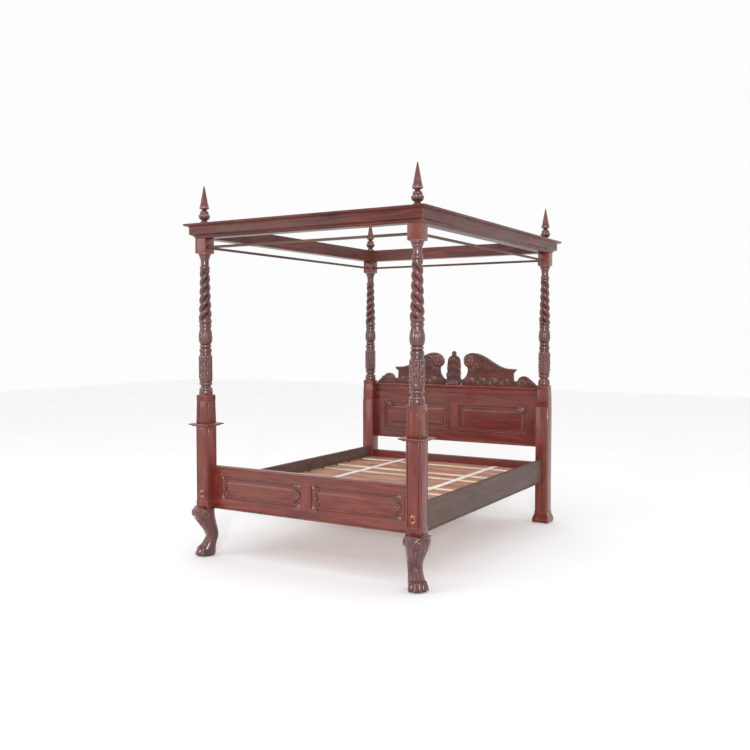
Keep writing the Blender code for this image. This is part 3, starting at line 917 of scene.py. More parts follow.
def scroll(middle, start, end, turns, thick, forward, hand=1, begin=0.0):
    # a volute in the board's face, its strand thinning towards the eye
    points, radii = [], []
    count = int(18 * turns) + 2
    for k in range(count):
        t = k / (count - 1)
        radius = start * (end / start) ** t
        angle = math.radians(begin) + hand * 2 * math.pi * turns * t
        points.append((middle[0] + radius * math.cos(angle), forward,
                       middle[1] + radius * math.sin(angle)))
        radii.append(thick * (1 - 0.55 * t))
    return tendril(points, radii)


# foot posts: moulded square shafts over carved knees, thin ankles and clawed feet
leg = {"voxel": 0.0019, "toeSpread": (-62, -31, 0, 31, 62), "notchAt": 0.0288,
       "notchIn": 0.0390, "bead": 0.0057, "beadAt": 0.0386, "eye": 0.263, "flatSole": 0.0012}

legRings = [  # height, centre outwards, half depth, half width
    (0.0015, 0.007, 0.046, 0.038), (0.010, 0.008, 0.056, 0.046), (0.030, 0.006, 0.057, 0.048),
    (0.048, 0.000, 0.052, 0.048), (0.066, -0.008, 0.046, 0.045), (0.086, -0.018, 0.041, 0.042),
    (0.106, -0.027, 0.0385, 0.041), (0.130, -0.030, 0.0390, 0.042),
    (0.155, -0.025, 0.0415, 0.046), (0.180, -0.015, 0.046, 0.051), (0.205, -0.003, 0.052, 0.057),
    (0.230, 0.009, 0.059, 0.063), (0.252, 0.017, 0.064, 0.068), (0.270, 0.020, 0.066, 0.071),
    (0.286, 0.018, 0.065, 0.071), (0.296, 0.013, 0.063, 0.068), (0.3015, 0.008, 0.056, 0.060),
    (0.312, 0.000, 0.040, 0.040)]


def onShin(side, height, lift=0.0):
    # a point on the front of the bare leg, this far to the side
    for low, high in zip(legRings, legRings[1:]):
        if low[0] <= height <= high[0]:
            t = (height - low[0]) / (high[0] - low[0])
            out, deep, wide = (a + (b - a) * t for a, b in zip(low[1:], high[1:]))
            return (out + (deep + lift) * math.sqrt(max(0.0, 1 - (side / wide) ** 2)),
                    side, height)


def bareLeg():
    # facing +X, as stacked rings
    height, out, deep, wide = legRings[0]
    body = started("legBody", "circle", (deep, wide, 1), vertices=40, radius=1,
                   fill_type="NGON", location=(out, 0, height))
    openEdit(body, "FACE")
    for low, high in zip(legRings, legRings[1:]):
        extrudeBy((high[1] - low[1], 0, high[0] - low[0]))
        bpy.ops.transform.resize(value=(high[2] / low[2], high[3] / low[3], 1),
                                 center_override=(high[1], 0, high[0]))
    faceOutwards()
    closeEdit()
    return body


def toe(degrees):
    # a tendon from the ankle, two knuckles and a claw
    front, side = math.cos(math.radians(degrees)), math.sin(math.radians(degrees))

    def at(distance, high):
        return (0.005 + distance * front, distance * side * (1.02 - 0.10 * abs(side)), high)

    points = smoothPath([(-0.026 + 0.033 * front, 0.033 * side, 0.118),
                         (-0.012 + 0.036 * front, 0.036 * side, 0.088), at(0.032, 0.066),
                         at(0.042, 0.048), at(0.049, 0.028), at(0.049, 0.016)], 4)
    count = len(points)
    claw = smoothPath([at(0.0600, 0.020), at(0.0650, 0.013), at(0.0640, 0.005)], 4)
    return [tendril(points, [0.0032 + 0.0115 * ease(0.20, 0.75, k / count)
                             for k in range(count)], 4),
            ball(at(0.0420, 0.0450), (0.0160, 0.0165, 0.0160)),
            ball(at(0.0490, 0.0210), (0.0175, 0.0172, 0.0185)),
            tendril(claw, [0.0048 - 0.0026 * k / len(claw) for k in range(len(claw))])]


def knee():
    # a volute on the corner, scrolled shoulders and a leaf falling down the shin
    frontAt = Matrix.Rotation(math.radians(90), 4, "Z") @ Matrix.Rotation(math.radians(37), 4, "X")
    eye = []
    for k in range(31):
        radius, angle = 0.0245 * 0.22 ** (k / 30), math.radians(215) - 0.36 * k
        eye.append(onShin(radius * math.cos(angle), leg["eye"] + radius * math.sin(angle), 0.0025))
    parts = [tendril(eye, [0.0068 - 0.0030 * k / 30 for k in range(31)]),
             ball(onShin(0, leg["eye"], 0.0035), (0.0070, 0.0065, 0.0065), 12)]
    for hand in (-1, 1):
        shoulder = smoothPath([(0.081, hand * 0.003, 0.290), (0.070, hand * 0.031, 0.297),
                               (0.044, hand * 0.060, 0.299), (0.014, hand * 0.073, 0.290),
                               (-0.006, hand * 0.0715, 0.268), (0.004, hand * 0.0695, 0.248),
                               (0.019, hand * 0.0700, 0.259)], 5)
        parts.append(tendril(shoulder, [0.0050] * (len(shoulder) - 6) +
                             [0.0045, 0.004, 0.004, 0.0045, 0.0055, 0.006]))
        for up, long, lean in ((0.244, 0.054, 38), (0.224, 0.050, 34), (0.204, 0.043, 30),
                               (0.185, 0.035, 26)):
            parts.append(placed(leafStock, onShin(hand * 0.004, up, -0.0015),
                                180 + hand * lean, long, 0.80, 0.8, frontAt))
        edge = [onShin(hand * out, up) for out, up in ((0.040, 0.262), (0.042, 0.232),
                                                       (0.035, 0.200), (0.023, 0.170), (0, 0.146))]
        parts.append(tendril(smoothPath(edge, 5), 0.0036))
    spine = smoothPath([onShin(0, z, 0.001) for z in (0.240, 0.218, 0.196, 0.171, 0.150, 0.132)],
                       5)
    parts.append(tendril(spine, [0.0050 - 0.0024 * k / len(spine) for k in range(len(spine))]))
    return parts


def cabriole():
    # the leg and all its carving, melted together and cut flat underneath
    parts = [bareLeg()]
    for degrees in leg["toeSpread"]:
        parts += toe(degrees)
    piece = joined("legCarving", parts + knee())
    useModifier(piece, "REMESH", mode="VOXEL", voxel_size=leg["voxel"], adaptivity=0.0)
    useModifier(piece, "SMOOTH", factor=0.5, iterations=2)
    low = min(corner.co.z for corner in piece.data.vertices)
    for corner in piece.data.vertices:
        corner.co.z = corner.co.z - low if corner.co.z - low > leg["flatSole"] else 0.0
    return smoothOver(piece, 80)


def squareShaft(name, outline, levels, edge):
    # an outline in X and Y drawn up through (height, scale) levels
    first, scale = levels[0]
    piece = outlined(name, [(x * scale, y * scale, first) for x, y in outline])
    for (low, was), (high, now) in zip(levels, levels[1:]):
        extrudeBy((0, 0, high - low))
        bpy.ops.transform.resize(value=(now / was, now / was, 1), center_override=(0, 0, high))
    faceOutwards()
    closeEdit()
    useModifier(piece, "BEVEL", width=edge, segments=2, limit_method="ANGLE",
                angle_limit=math.radians(40))
    return smoothOver(piece, 30)


def quartered(corner):
    # four turns of one corner's outline
    points = []
    for _ in range(4):
        points += corner
        corner = [(-y, x) for x, y in corner]
    return points


def footShaft():
    half, near, inner, at = bed["postHalf"], leg["notchAt"], leg["notchIn"], leg["beadAt"]
    notched = quartered([(half, -near), (half, near), (0.0428, near + 0.0010),
                         (0.0422, near + 0.0030), (inner - 0.0035, near + 0.0038),
                         (inner - 0.0035, inner - 0.0035), (near + 0.0038, inner - 0.0035),
                         (near + 0.0030, 0.0422), (near + 0.0010, 0.0428)])
    plain = quartered([(half, half)])
    parts = [
        squareShaft("shaftFoot", plain, [(0.2990, 1.0), (0.3420, 1.0)], 0.0012),
        squareShaft("shaftLow", notched, [(0.3400, 1.0), (0.8080, 1.0)], 0.0005),
        squareShaft("shaftHigh", notched, [(0.8080, 1.0), (0.9500, 0.913)], 0.0005),
        squareShaft("shaftTop", plain, [(0.9490, 0.9137), (0.9810, 0.8945), (0.9882, 0.889)],
                    0.0020)]
    for x, y in quartered([(at, at)]):
        # round beads stand in the notched corners
        parts.append(tendril([(x * taper, y * taper, height) for taper, height in (
            (1, 0.3425), (1, 0.46), (1, 0.62), (1, 0.80), (0.995, 0.815), (0.953, 0.885),
            (0.915, 0.9490))], leg["bead"], 4))
    # raised fillets follow the corners and meet in an arch on each tapering face
    rise = [(-0.0235 * out, -forward, up) for out, forward, up in (
        (1, 0.0449, 0.830), (0.98, 0.0438, 0.870), (0.96, 0.0426, 0.910), (0.86, 0.0417, 0.940),
        (0.45, 0.0411, 0.959), (0, 0.0409, 0.965))]
    path = smoothPath(rise + [(-x, y, z) for x, y, z in reversed(rise[:-1])], 3)
    for turn in range(4):
        arch = tendril(path, 0.0027)
        arch.data.transform(standing((0, 0, 0), math.radians(90 * turn)))
        parts.append(arch)
    return joined("footShaft", parts)


bolt = {"height": 0.387, "frontY": -1.023, "coverPin": 0.405}
collarCuts = [(0.0454, 0.7982), (0.0580, 0.7982), (0.0600, 0.8000), (0.0605, 0.8025),
              (0.0640, 0.8030), (0.0700, 0.8045), (0.0738, 0.8075), (0.0748, 0.8105),
              (0.0738, 0.8130), (0.0700, 0.8142), (0.0660, 0.8146), (0.0600, 0.8160),
              (0.0540, 0.8174), (0.0454, 0.8176), (0.0454, 0.7982)]
legMaster = finished(cabriole(), carvedMahogany)
print("leg carved,", len(legMaster.data.polygons), "faces")
shaftMaster = finished(footShaft(), mahogany["Z"])
for side, hand in leftRight:
    spot = (hand * bed["postX"], -bed["postY"], 0)
    shaft = copied(shaftMaster, "shaft", standing(spot))
    bored(shaft, (spot[0], bolt["frontY"], bolt["height"]), 0.0115, 0.024, 40, 90)
    foot = copied(legMaster, "foot", standing(spot, math.atan2(-1, hand)))
    shown(joined(f"carved_leg_{side}", [shaft, foot]), "bedstead", "mahogany", None,
          f"foot_post_lower_{side}")
    shown(turnedSquare(f"moulded_collar_{side}", collarCuts, spot, 35), "bedstead", "mahogany",
          mahogany["X"], f"foot_post_collar_{side}")
thrownOut(legMaster, shaftMaster)


# head posts: plain square, stop-chamfered, on swollen pads
padCuts = [(0, 0.0), (0.0500, 0.0), (0.0560, 0.0020), (0.0595, 0.0090), (0.0600, 0.0200),
           (0.0585, 0.0330), (0.0540, 0.0450), (0.0490, 0.0560), (0.0465, 0.0680),
           (0.0470, 0.0740), (0.0490, 0.0790), (0.0, 0.0790)]
for side, hand in leftRight:
    spot = (hand * bed["postX"], bed["postY"], 0)
    plain = quartered([(bed["postHalf"], bed["postHalf"])])
    chamfered = quartered([(bed["postHalf"], 0.0385), (0.0385, bed["postHalf"])])
    parts = [turnedSquare("pad", padCuts, spot, 45)]
    for outline, levels, edge in (
            (plain, [(0.0740, 0.985), (0.0800, 1.0), (0.4400, 1.0), (0.8350, 1.0)], 0.0030),
            (chamfered, [(0.8349, 0.999), (0.9000, 0.995), (0.9600, 0.920)], 0.0012),
            (plain, [(0.9595, 0.9195), (0.9820, 0.8935), (0.9882, 0.889)], 0.0020)):
        parts.append(squareShaft("shaft", outline, levels, edge))
        parts[-1].data.transform(standing(spot))
    shown(joined(f"head_leg_{side}", parts), "bedstead", "mahogany", mahogany["Z"],
          f"head_post_lower_{side}")
print("legs and lower posts done")


# footboard and headboard: framed, with raised panels inside carved mouldings
def bolection(width, stand):
    # a rounded moulding with a small step on each side
    side = [(1, 0), (1, 0.30), (0.72, 0.36), (0.62, 0.70), (0.30, 0.96)]
    left = [(-width / 2 * out, stand * up) for out, up in side]
    return left + [(0, stand)] + [(-x, y) for x, y in reversed(left)]


def boardFrom(node, edge):
    return block(node + "_board", *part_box(node), edge)


def panelBoard(node, margin, rise=0.004, slope=0.010):
    # a panel whose middle stands forward behind a sloping margin
    low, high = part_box(node)
    piece = block(node + "_board", (low.x, low.y + rise, low.z), high, 0)
    openEdit(piece, "FACE")
    pickFaces(lambda middle, normal: normal.y < -0.9)
    bpy.ops.mesh.inset(thickness=margin, depth=0)
    insetBy(0.0012, (0, -rise * 0.35, 0))
    insetBy(slope, (0, -rise * 0.65, 0))
    bpy.ops.mesh.select_all(action="SELECT")
    bpy.ops.mesh.subdivide(number_cuts=3)
    closeEdit()
    return smoothOver(piece, 12)


def spray(place, towards, leaves, wide, deep):
    # leaves fanned out from one point of a board's face
    return [placed(leafStock, place, towards + turn, long, wide, deep) for turn, long in leaves]


def framedPanel(node, name, margin, path, centre, shrink, stand, carvings):
    # the panel, a moulding round it, a finer one inside that and the carvings laid on them
    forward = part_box(node)[0].y + 0.0035
    inner = [(centre[0] + (x - centre[0]) * shrink[0], centre[1] + (z - centre[1]) * shrink[1])
             for x, z in path]
    parts = [panelBoard(node, margin), swept(path, bolection(0.013, stand), forward),
             swept(inner, bolection(0.0050, 0.0045), forward)]
    for part in parts:
        finished(part, mahogany["X"])
    for part in carvings:
        finished(part, carvedAcross)
    shown(joined(name, parts + carvings), "bedstead", "mahogany", None, node)


def framedRail(board, part, section):
    # a moulded rail as long as its solid
    node = f"{board}board_{part}_rail"
    low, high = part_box(node)
    shown(planed(node + "_board", section, low.x, high.x), "bedstead", "mahogany",
          mahogany["X"], node)


def stilesAndMuntin(board):
    for part in ("stile_left", "stile_right", "muntin"):
        node = f"{board}board_{part}"
        shown(boardFrom(node, 0.0008), "bedstead", "mahogany", mahogany["Z"], node)


def capTop(low, high):
    # the rounded front of a cap, from its face to its top
    return [(low.y + 0.0010, high.z - 0.0035), (low.y + 0.0040, high.z - 0.0008),
            (low.y + 0.0080, high.z)]


# footboard
foot = {"cap": 0.014, "overhang": 0.011, "margin": 0.034, "mouldStand": 0.009,
        "bracket": 0.046, "border": 0.010}
low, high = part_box("footboard_top_rail")
face, capLow = low.y + foot["overhang"], high.z - foot["cap"]
framedRail("foot", "top", [
    (high.y, low.z), (face, low.z), (face, capLow - 0.006), (face - 0.002, capLow - 0.0055),
    (face - 0.0030, capLow - 0.002), (face - 0.0060, capLow), (low.y + 0.003, capLow + 0.0012),
    (low.y + 0.0008, capLow + 0.0045), (low.y, high.z - 0.008)] + capTop(low, high)
    + [(high.y - 0.002, high.z), (high.y, high.z - 0.002)])
low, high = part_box("footboard_bottom_rail")
framedRail("foot", "bottom", [(high.y, low.z), (low.y + 0.003, low.z)]
           + beadRound(face + 0.0005, 0.0055, low.z + 0.0015, 0.0115, 7)
           + [(face + 0.0015, low.z + 0.0145), (face, low.z + 0.0165), (face, high.z),
              (high.y, high.z)])
stilesAndMuntin("foot")

for side, hand in leftRight:
    node = f"footboard_panel_{side}"
    low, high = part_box(node)
    near, far = low.x + foot["bracket"], high.x - foot["bracket"]
    top, bottom = high.z - foot["border"], low.z + foot["border"]
    middle = (low.z + high.z) / 2
    # long straight runs, with ends drawn out like brackets to a point at mid height
    bracket = smoothPath([(far, top), (far + 0.0010, top - 0.010), (far + 0.0050, top - 0.024),
                          (far + 0.0130, top - 0.036), (far + 0.0210, top - 0.045),
                          (far + 0.0270, middle + 0.010), (far + 0.0345, middle)], 3)
    rightEnd = bracket + [(x, 2 * middle - z) for x, z in reversed(bracket[:-1])]
    leftEnd = [(near + far - x, z) for x, z in reversed(rightEnd)]
    run = [near + (far - near) * k / 8 for k in range(1, 8)]
    path = (rightEnd + [(near + far - x, bottom) for x in run] + leftEnd
            + [(x, top) for x in run])
    carvings = []
    for endX, way in ((near, -1), (far, 1)):
        # leaf sprays carved in the corners that the bracket leaves, and on its point
        for up in (-1, 1):
            corner = (endX + way * 0.0330, low.y + 0.0018, middle + up * 0.0560)
            carvings += spray(corner, -way * 90 + way * up * 38, (
                (0, 0.038), (-38, 0.032), (38, 0.030), (-75, 0.022), (75, 0.022)), 0.9, 2.4)
            carvings.append(ball(corner, (0.0066, 0.0066, 0.0066), 12))
        carvings += spray((endX + way * 0.026, low.y, middle), -way * 90, (
            (0, 0.030), (-46, 0.026), (46, 0.026), (-82, 0.020), (82, 0.020)), 0.9, 2.2)
    framedPanel(node, f"footboard_panel_carved_{side}", foot["margin"], path,
                ((low.x + high.x) / 2, middle), (0.965, 0.83), foot["mouldStand"], carvings)
print("footboard framed")

# headboard
head = {"cap": 0.020, "overhang": 0.011, "margin": 0.044, "mouldStand": 0.008,
        "border": 0.010, "notch": 0.070, "notchDrop": 0.034, "beadHigh": 0.912}
low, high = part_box("headboard_top_rail")
face, capLow = low.y + head["overhang"], high.z - head["cap"]
framedRail("head", "top", [(high.y, low.z), (face, low.z), (face, head["beadHigh"] - 0.006)]
           + beadRound(face, 0.0045, head["beadHigh"] - 0.005, 0.010, 6)
           + [(face, head["beadHigh"] + 0.0065), (face, capLow - 0.010),
              (face - 0.0020, capLow - 0.0095), (face - 0.0030, capLow - 0.0040),
              (face - 0.0055, capLow - 0.0005), (low.y + 0.0030, capLow + 0.0005),
              (low.y + 0.0008, capLow + 0.0040), (low.y, capLow + 0.0100)]
           + capTop(low, high) + [(high.y, high.z)])
low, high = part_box("headboard_bottom_rail")
framedRail("head", "bottom", [(high.y, low.z), (face + 0.003, low.z)]
           + beadRound(face, 0.0050, low.z + 0.0015, 0.012, 7)
           + [(face, low.z + 0.0160), (face, high.z), (high.y, high.z)])
stilesAndMuntin("head")

for side, hand in leftRight:
    node = f"headboard_panel_{side}"
    low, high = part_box(node)
    near, far = (low.x + head["border"], high.x - head["border"])[::hand]
    top, bottom = high.z - head["border"], low.z + head["border"]
    notchX, notchZ = far - hand * head["notch"], top - head["notchDrop"]
    # the outer top corner steps in round a small carved spray
    quarter = [math.pi / 2 * k / 4 for k in range(1, 5)]
    path = [(near, bottom), (near, top), (notchX - hand * 0.012, top)]
    path += [(notchX + hand * 0.012 * math.sin(a), top - 0.012 + 0.012 * math.cos(a))
             for a in quarter]
    path += [(notchX + hand * 0.001, notchZ + 0.010), (notchX + hand * 0.012, notchZ),
             (far - hand * 0.010, notchZ), (far, notchZ - 0.010), (far, bottom)]
    corner = (far - hand * 0.034, low.y + 0.0015, top - 0.012)
    carvings = spray(corner, -hand * 100, (
        (0, 0.044), (-34, 0.034), (34, 0.036), (-70, 0.026), (70, 0.028), (180, 0.026),
        (215, 0.022), (145, 0.022)), 0.95, 2.2)
    carvings.append(ball(corner, (0.0080, 0.0078, 0.0080), 12))
    framedPanel(node, f"headboard_panel_carved_{side}", head["margin"], path,
                ((near + far) / 2, (top + bottom) / 2), (0.945, 0.84), head["mouldStand"],
                carvings)
print("headboard framed")


# crest: broken swan necks, a carved middle ornament and scrolled ends
crest = {"base": 0.9703, "middle": 1.009, "thick": 0.026, "ornamentThick": 0.030,
         "eye": (0.130, 0.188), "rim": 0.0365}
# half the outline, from the middle outwards along the foot and back over the neck
neckLow = [(0.0665, 0.000), (0.672, 0.000)]
wave = [(0.672, 0.010), (0.656, 0.017), (0.640, 0.030), (0.620, 0.047), (0.600, 0.062),
        (0.583, 0.074), (0.565, 0.078), (0.546, 0.074), (0.530, 0.062), (0.522, 0.047),
        (0.512, 0.038), (0.497, 0.037), (0.484, 0.044)]
ledge = [(0.482, 0.060), (0.482, 0.104), (0.495, 0.112)]
neck = [(0.503, 0.127), (0.470, 0.128), (0.440, 0.130), (0.410, 0.136), (0.380, 0.146),
        (0.345, 0.164), (0.310, 0.184), (0.275, 0.206), (0.240, 0.224), (0.215, 0.234),
        (0.190, 0.240), (0.158, 0.242), (0.136, 0.238), (0.114, 0.228), (0.097, 0.212),
        (0.087, 0.192), (0.086, 0.168), (0.096, 0.148), (0.112, 0.136)]
throat = [(0.112, 0.136), (0.118, 0.120), (0.116, 0.098), (0.108, 0.076), (0.096, 0.058),
          (0.082, 0.046), (0.0665, 0.040)]
neckLeaves = (  # out, up, turn, length: acanthus running out of the volute down the neck
    (0.176, 0.196, 62, 0.060), (0.182, 0.176, 88, 0.056), (0.176, 0.156, 118, 0.052),
    (0.160, 0.140, 150, 0.046), (0.222, 0.184, 72, 0.052), (0.226, 0.160, 104, 0.046),
    (0.270, 0.160, 80, 0.046), (0.274, 0.140, 112, 0.040), (0.316, 0.136, 84, 0.042),
    (0.356, 0.118, 86, 0.038), (0.394, 0.108, 92, 0.034), (0.140, 0.128, 190, 0.040))
footFlowers = (  # out, up, size, spin: flowers along the foot of the board
    (0.158, 0.046, 0.0180, 0), (0.204, 0.026, 0.0115, 20), (0.252, 0.047, 0.0165, 9),
    (0.300, 0.024, 0.0120, 31), (0.346, 0.045, 0.0175, 14), (0.392, 0.025, 0.0110, 5),
    (0.436, 0.044, 0.0150, 26))


def sided(points, hand=1):
    return [(hand * x, crest["base"] + z) for x, z in points]


def crestJoined(name, boards, carvings, node):
    for part in boards:
        finished(part, corniceWood["X"])
    for part in carvings:
        finished(part, crestCarved)
    shown(joined(name, boards + carvings), "bedstead", "mahogany", None, node)


def neckCrest(side, hand):
    front, back = (crest["middle"] + way * crest["thick"] / 2 for way in (-1, 1))

    def at(x, z, lift=0.0):
        return (hand * x, front + lift, crest["base"] + z)

    def moulding(points, wide, stand):
        return swept(sided(smoothPath(points, 4), hand), bolection(wide, stand), front + 0.0005,
                     False)

    def leaf(x, z, turn, long, wide, deep):
        return placed(leafStock, at(x, z, 0.0005), hand * turn, long, wide, deep)

    def volute(x, z, *shape):
        lift = shape[-1]
        return scroll((hand * x, crest["base"] + z), *shape[:-1], front - lift, hand,
                      100 if hand > 0 else 80)

    outline = (neckLow + smoothPath(wave, 3) + ledge + smoothPath(neck, 3)
               + smoothPath(throat, 3)[1:])
    boards = [sawn(sided(outline, hand), crest["thick"], crest["middle"], 0.0016)]
    # moulded ledge where the neck ends, in two steps
    for inside, outside, forward, rear, low, high, edge, rounds in (
            (0.452, 0.504, 0.006, 0.0, 0.1165, 0.1285, 0.003, 3),
            (0.458, 0.4955, 0.0035, 0.001, 0.1065, 0.1170, 0.002, 2)):
        left, right = sorted((hand * inside, hand * outside))
        boards.append(block("ledge", (left, front - forward, crest["base"] + low),
                            (right, back - rear, crest["base"] + high), edge, rounds))
    carvings = [moulding([(x - (0.004 if 0.1 < x < 0.49 else 0.0), z - 0.0055)
                          for x, z in neck[:-5]], 0.0150, 0.0075),
                moulding([(x - 0.004, z - 0.0215) for x, z in neck[:12]], 0.0055, 0.0045),
                moulding([(x, z - 0.005) for x, z in wave[1:-2]], 0.0110, 0.0065)]
    # two turns of a volute into a round eye, petals round its rim
    eyeX, eyeZ = crest["eye"]
    carvings.append(volute(eyeX, eyeZ, 0.0440, 0.0130, 2.1, 0.0068, 0.0005))
    carvings.append(placed(rosetteStock, at(eyeX, eyeZ, -0.001), 0, 0.0125, 1, 0.9))
    for k in range(7):
        angle = math.radians(60 + 26 * k)
        carvings.append(ball(at(eyeX - crest["rim"] * math.sin(angle),
                                eyeZ - crest["rim"] * math.cos(angle), 0.001),
                             (0.0070, 0.0050, 0.0070), 10))
    carvings += [leaf(*row, 0.95, 1.5) for row in neckLeaves]
    for x, z, size, spin in footFlowers:
        carvings.append(placed(rosetteStock, at(x, z), spin, size, 1, 0.7))
        carvings += spray(at(x, z, 0.001), 0, (
            (58 + spin, 0.046), (112 + spin, 0.040), (-66 - spin, 0.044), (-122 + spin, 0.038),
            (12 - spin, 0.034), (172 + spin, 0.026)), 0.80, 1.5)
    carvings.append(placed(leafStock, at(0.112, 0.020), hand * -50, 0.040, 0.9, 1.5))
    # scrolled end that falls away to the post
    carvings.append(volute(0.548, 0.050, 0.0200, 0.0060, 1.6, 0.0042, 0.0002))
    carvings += [leaf(0.560, 0.030, turn, long, 0.6, 1.0)
                 for turn, long in ((72, 0.070), (92, 0.082), (56, 0.046))]
    carvings += [leaf(0.536, 0.022, turn, 0.036, 0.8, 1.4) for turn in (-100, -60, -140)]
    crestJoined(f"crest_carved_{side}", boards, carvings, f"crest_{side}")


for side, hand in leftRight:
    neckCrest(side, hand)

half = [(0.052, 0), (0.060, 0.030), (0.053, 0.052), (0.050, 0.066), (0.0535, 0.084),
        (0.051, 0.104), (0.0495, 0.120), (0.0525, 0.140), (0.0505, 0.160), (0.0485, 0.176),
        (0.0465, 0.192), (0.038, 0.207), (0.026, 0.217), (0.016, 0.223), (0.0125, 0.232),
        (0.014, 0.242), (0.0100, 0.252), (0.0, 0.2565)]
half = smoothPath(half, 3)
board = sawn(sided(half + [(-x, z) for x, z in reversed(half[:-1])]), crest["ornamentThick"],
             crest["middle"], 0.004)
front = crest["middle"] - crest["ornamentThick"] / 2
# three overlapping rows of leaves under a bud, on three rings at the foot
carvings = []
for z, long, wide, spread, lean in ((0.010, 0.084, 0.72, 0.034, 5), (0.068, 0.078, 0.72, 0.034, 3),
                                    (0.124, 0.076, 0.70, 0.032, -4)):
    for step in (-2, 2, -1, 1, 0):
        carvings.append(placed(leafStock, (spread * step / 2, front + 0.002,
                                           crest["base"] + z + 0.005 * (2 - abs(step))),
                               lean * step, long, wide, 1.3))
carvings.append(ball((0, crest["middle"] - 0.002, crest["base"] + 0.236),
                     (0.013, 0.015, 0.017), 18))
for k in range(3):
    ring = [(0.040 * math.cos(a) * (1 - 0.1 * k), front + 0.001 - 0.004 * math.sin(a),
             crest["base"] + 0.006 + 0.010 * k) for a in [math.pi * j / 12 for j in range(13)]]
    carvings.append(tendril(ring, 0.0042))
crestJoined("crest_ornament_carved", [board], carvings, "crest_ornament")
print("crest carved")


# side rails, slat ledges and head rail
screwCuts = [(0, 0), (0.0042, 0), (0.0042, 0.0006), (0.0034, 0.0010), (0.0, 0.0011)]
ledgeScrews = {"count": 7, "first": 0.12, "apart": 0.268}
for side, hand in leftRight:
    node = f"side_rail_{side}"
    low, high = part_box(node)
    inner, outer = (low.x, high.x) if hand > 0 else (high.x, low.x)
    section = [(inner, low.z + 0.0015), (inner + hand * 0.0015, low.z),
               (outer - hand * 0.003, low.z)]
    section += beadRound(outer - hand * 0.0045, -hand * 0.0045, low.z + 0.0012, 0.0110, 7)
    section += [(outer - hand * across, up) for across, up in (
        (0.0045, low.z + 0.0140), (0.0012, low.z + 0.0160), (0.0012, high.z - 0.0070),
        (0.0020, high.z - 0.0030), (0.0045, high.z - 0.0008), (0.0080, high.z))]
    section += [(inner + hand * 0.0060, high.z), (inner + hand * 0.0022, high.z - 0.0010),
                (inner, high.z - 0.0045)]
    shown(planed(f"moulded_side_rail_{side}", section, low.y, high.y, "Y"), "bedstead",
          "dark_mahogany", taupe["Y"], node)

    node = f"slat_ledge_{side}"
    low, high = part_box(node)
    parts = [finished(boardFrom(node, 0.002), pineAlong)]
    for k in range(ledgeScrews["count"]):
        # screws sunk in the ledge's inner face
        spot = ((low.x if hand > 0 else high.x) + hand * 0.0002,
                low.y + ledgeScrews["first"] + k * ledgeScrews["apart"], (low.z + high.z) / 2)
        parts.append(finished(laid(turned("screw", screwCuts, 16), spot, (0, -90 * hand, 0)),
                              steel))
    shown(joined(f"slat_ledge_board_{side}", parts), "bedstead", "pine", None, node)

low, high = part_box("head_rail")
section = [(high.y, low.z), (low.y + 0.003, low.z)]
section += beadRound(low.y + 0.0040, 0.0040, low.z + 0.001, 0.010, 6)
section += [(low.y + 0.0010, low.z + 0.0130), (low.y + 0.0010, high.z - 0.0060),
            (low.y + 0.0020, high.z - 0.0020), (low.y + 0.0055, high.z), (high.y - 0.002, high.z),
            (high.y, high.z - 0.002)]
shown(planed("moulded_head_rail", section, low.x, high.x), "bedstead", "mahogany",
      mahogany["X"], "head_rail")
print("rails planed")


# slats, each a little different in its edges and colour
slat = {"count": 10, "edge": 0.0022, "cuts": 10, "wave": 0.0004}
slatNodes = [f"slat_{k:02d}" for k in range(1, slat["count"] + 1)]
slatLooks = [woodLook(f"pineSlat{k}", "pine", "X", 3.3 + 1.37 * k) for k in range(4)]
# pale edge pine: sawn wood's own colour and painted light on faces turned to the flash
sawnAndLitPine = woodLook("pineSawnAndLit", "sawnAndLitPine", "X", 2.2)
for k, node in enumerate(slatNodes, 1):
    low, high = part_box(node)
    middle = (low.y + high.y) / 2
    board = block(node + "_board", low, high, slat["edge"], 3)
    openEdit(board, "FACE")
    for share in [0.5] + [cut / slat["cuts"] for cut in range(1, slat["cuts"])]:
        bpy.ops.mesh.select_all(action="SELECT")
        bpy.ops.mesh.bisect(plane_co=(low.x + (high.x - low.x) * share, 0, 0),
                            plane_no=(1, 0, 0))
    closeEdit()
    for corner in board.data.vertices:
        # sawn edges wander slightly, always inwards
        drift = slat["wave"] * (1 + math.sin(corner.co.x * 7.1 + k * 2.3))
        corner.co.y += -drift if corner.co.y > middle else drift
    finished(board, slatLooks[(k * 3) % 4])
    board.data.materials.append(sawnAndLitPine if k % 3 else slatLooks[(k * 3 + 1) % 4])
    for side in board.data.polygons:
        # sawn edges and ends are paler than the planed faces, partly their own colour and partly
        # painted light where they face the flash
        side.material_index = 1 if abs(side.normal.z) < 0.4 else 0
    shown(smoothOver(board, 30), "slat_set", "pine", None, node)


# two webbing tapes, stapled to every slat
tape = {"wide": 0.040, "thick": 0.0014, "steps": 240, "sag": 0.0011}
slatLines = [((low.y + high.y) / 2, (high.y - low.y) / 2, high.z)
             for low, high in map(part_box, slatNodes)]
restZ = slatLines[0][2] + 0.0003


def staple(x, y, z):
    # a wire crown lying across the tape
    crown = [(x + 0.0058 * out, y, z + up) for out, up in (
        (-1, -0.0004), (-1, 0.0004), (-0.9, 0.0007), (0.9, 0.0007), (1, 0.0004), (1, -0.0004))]
    return finished(tendril(crown, 0.00045, 2), steel)


def wander(y, hand):
    # how far a tape strays sideways along the bed
    return 0.0012 * math.sin(y * 5.3 + 1.4 * hand) * 0.6


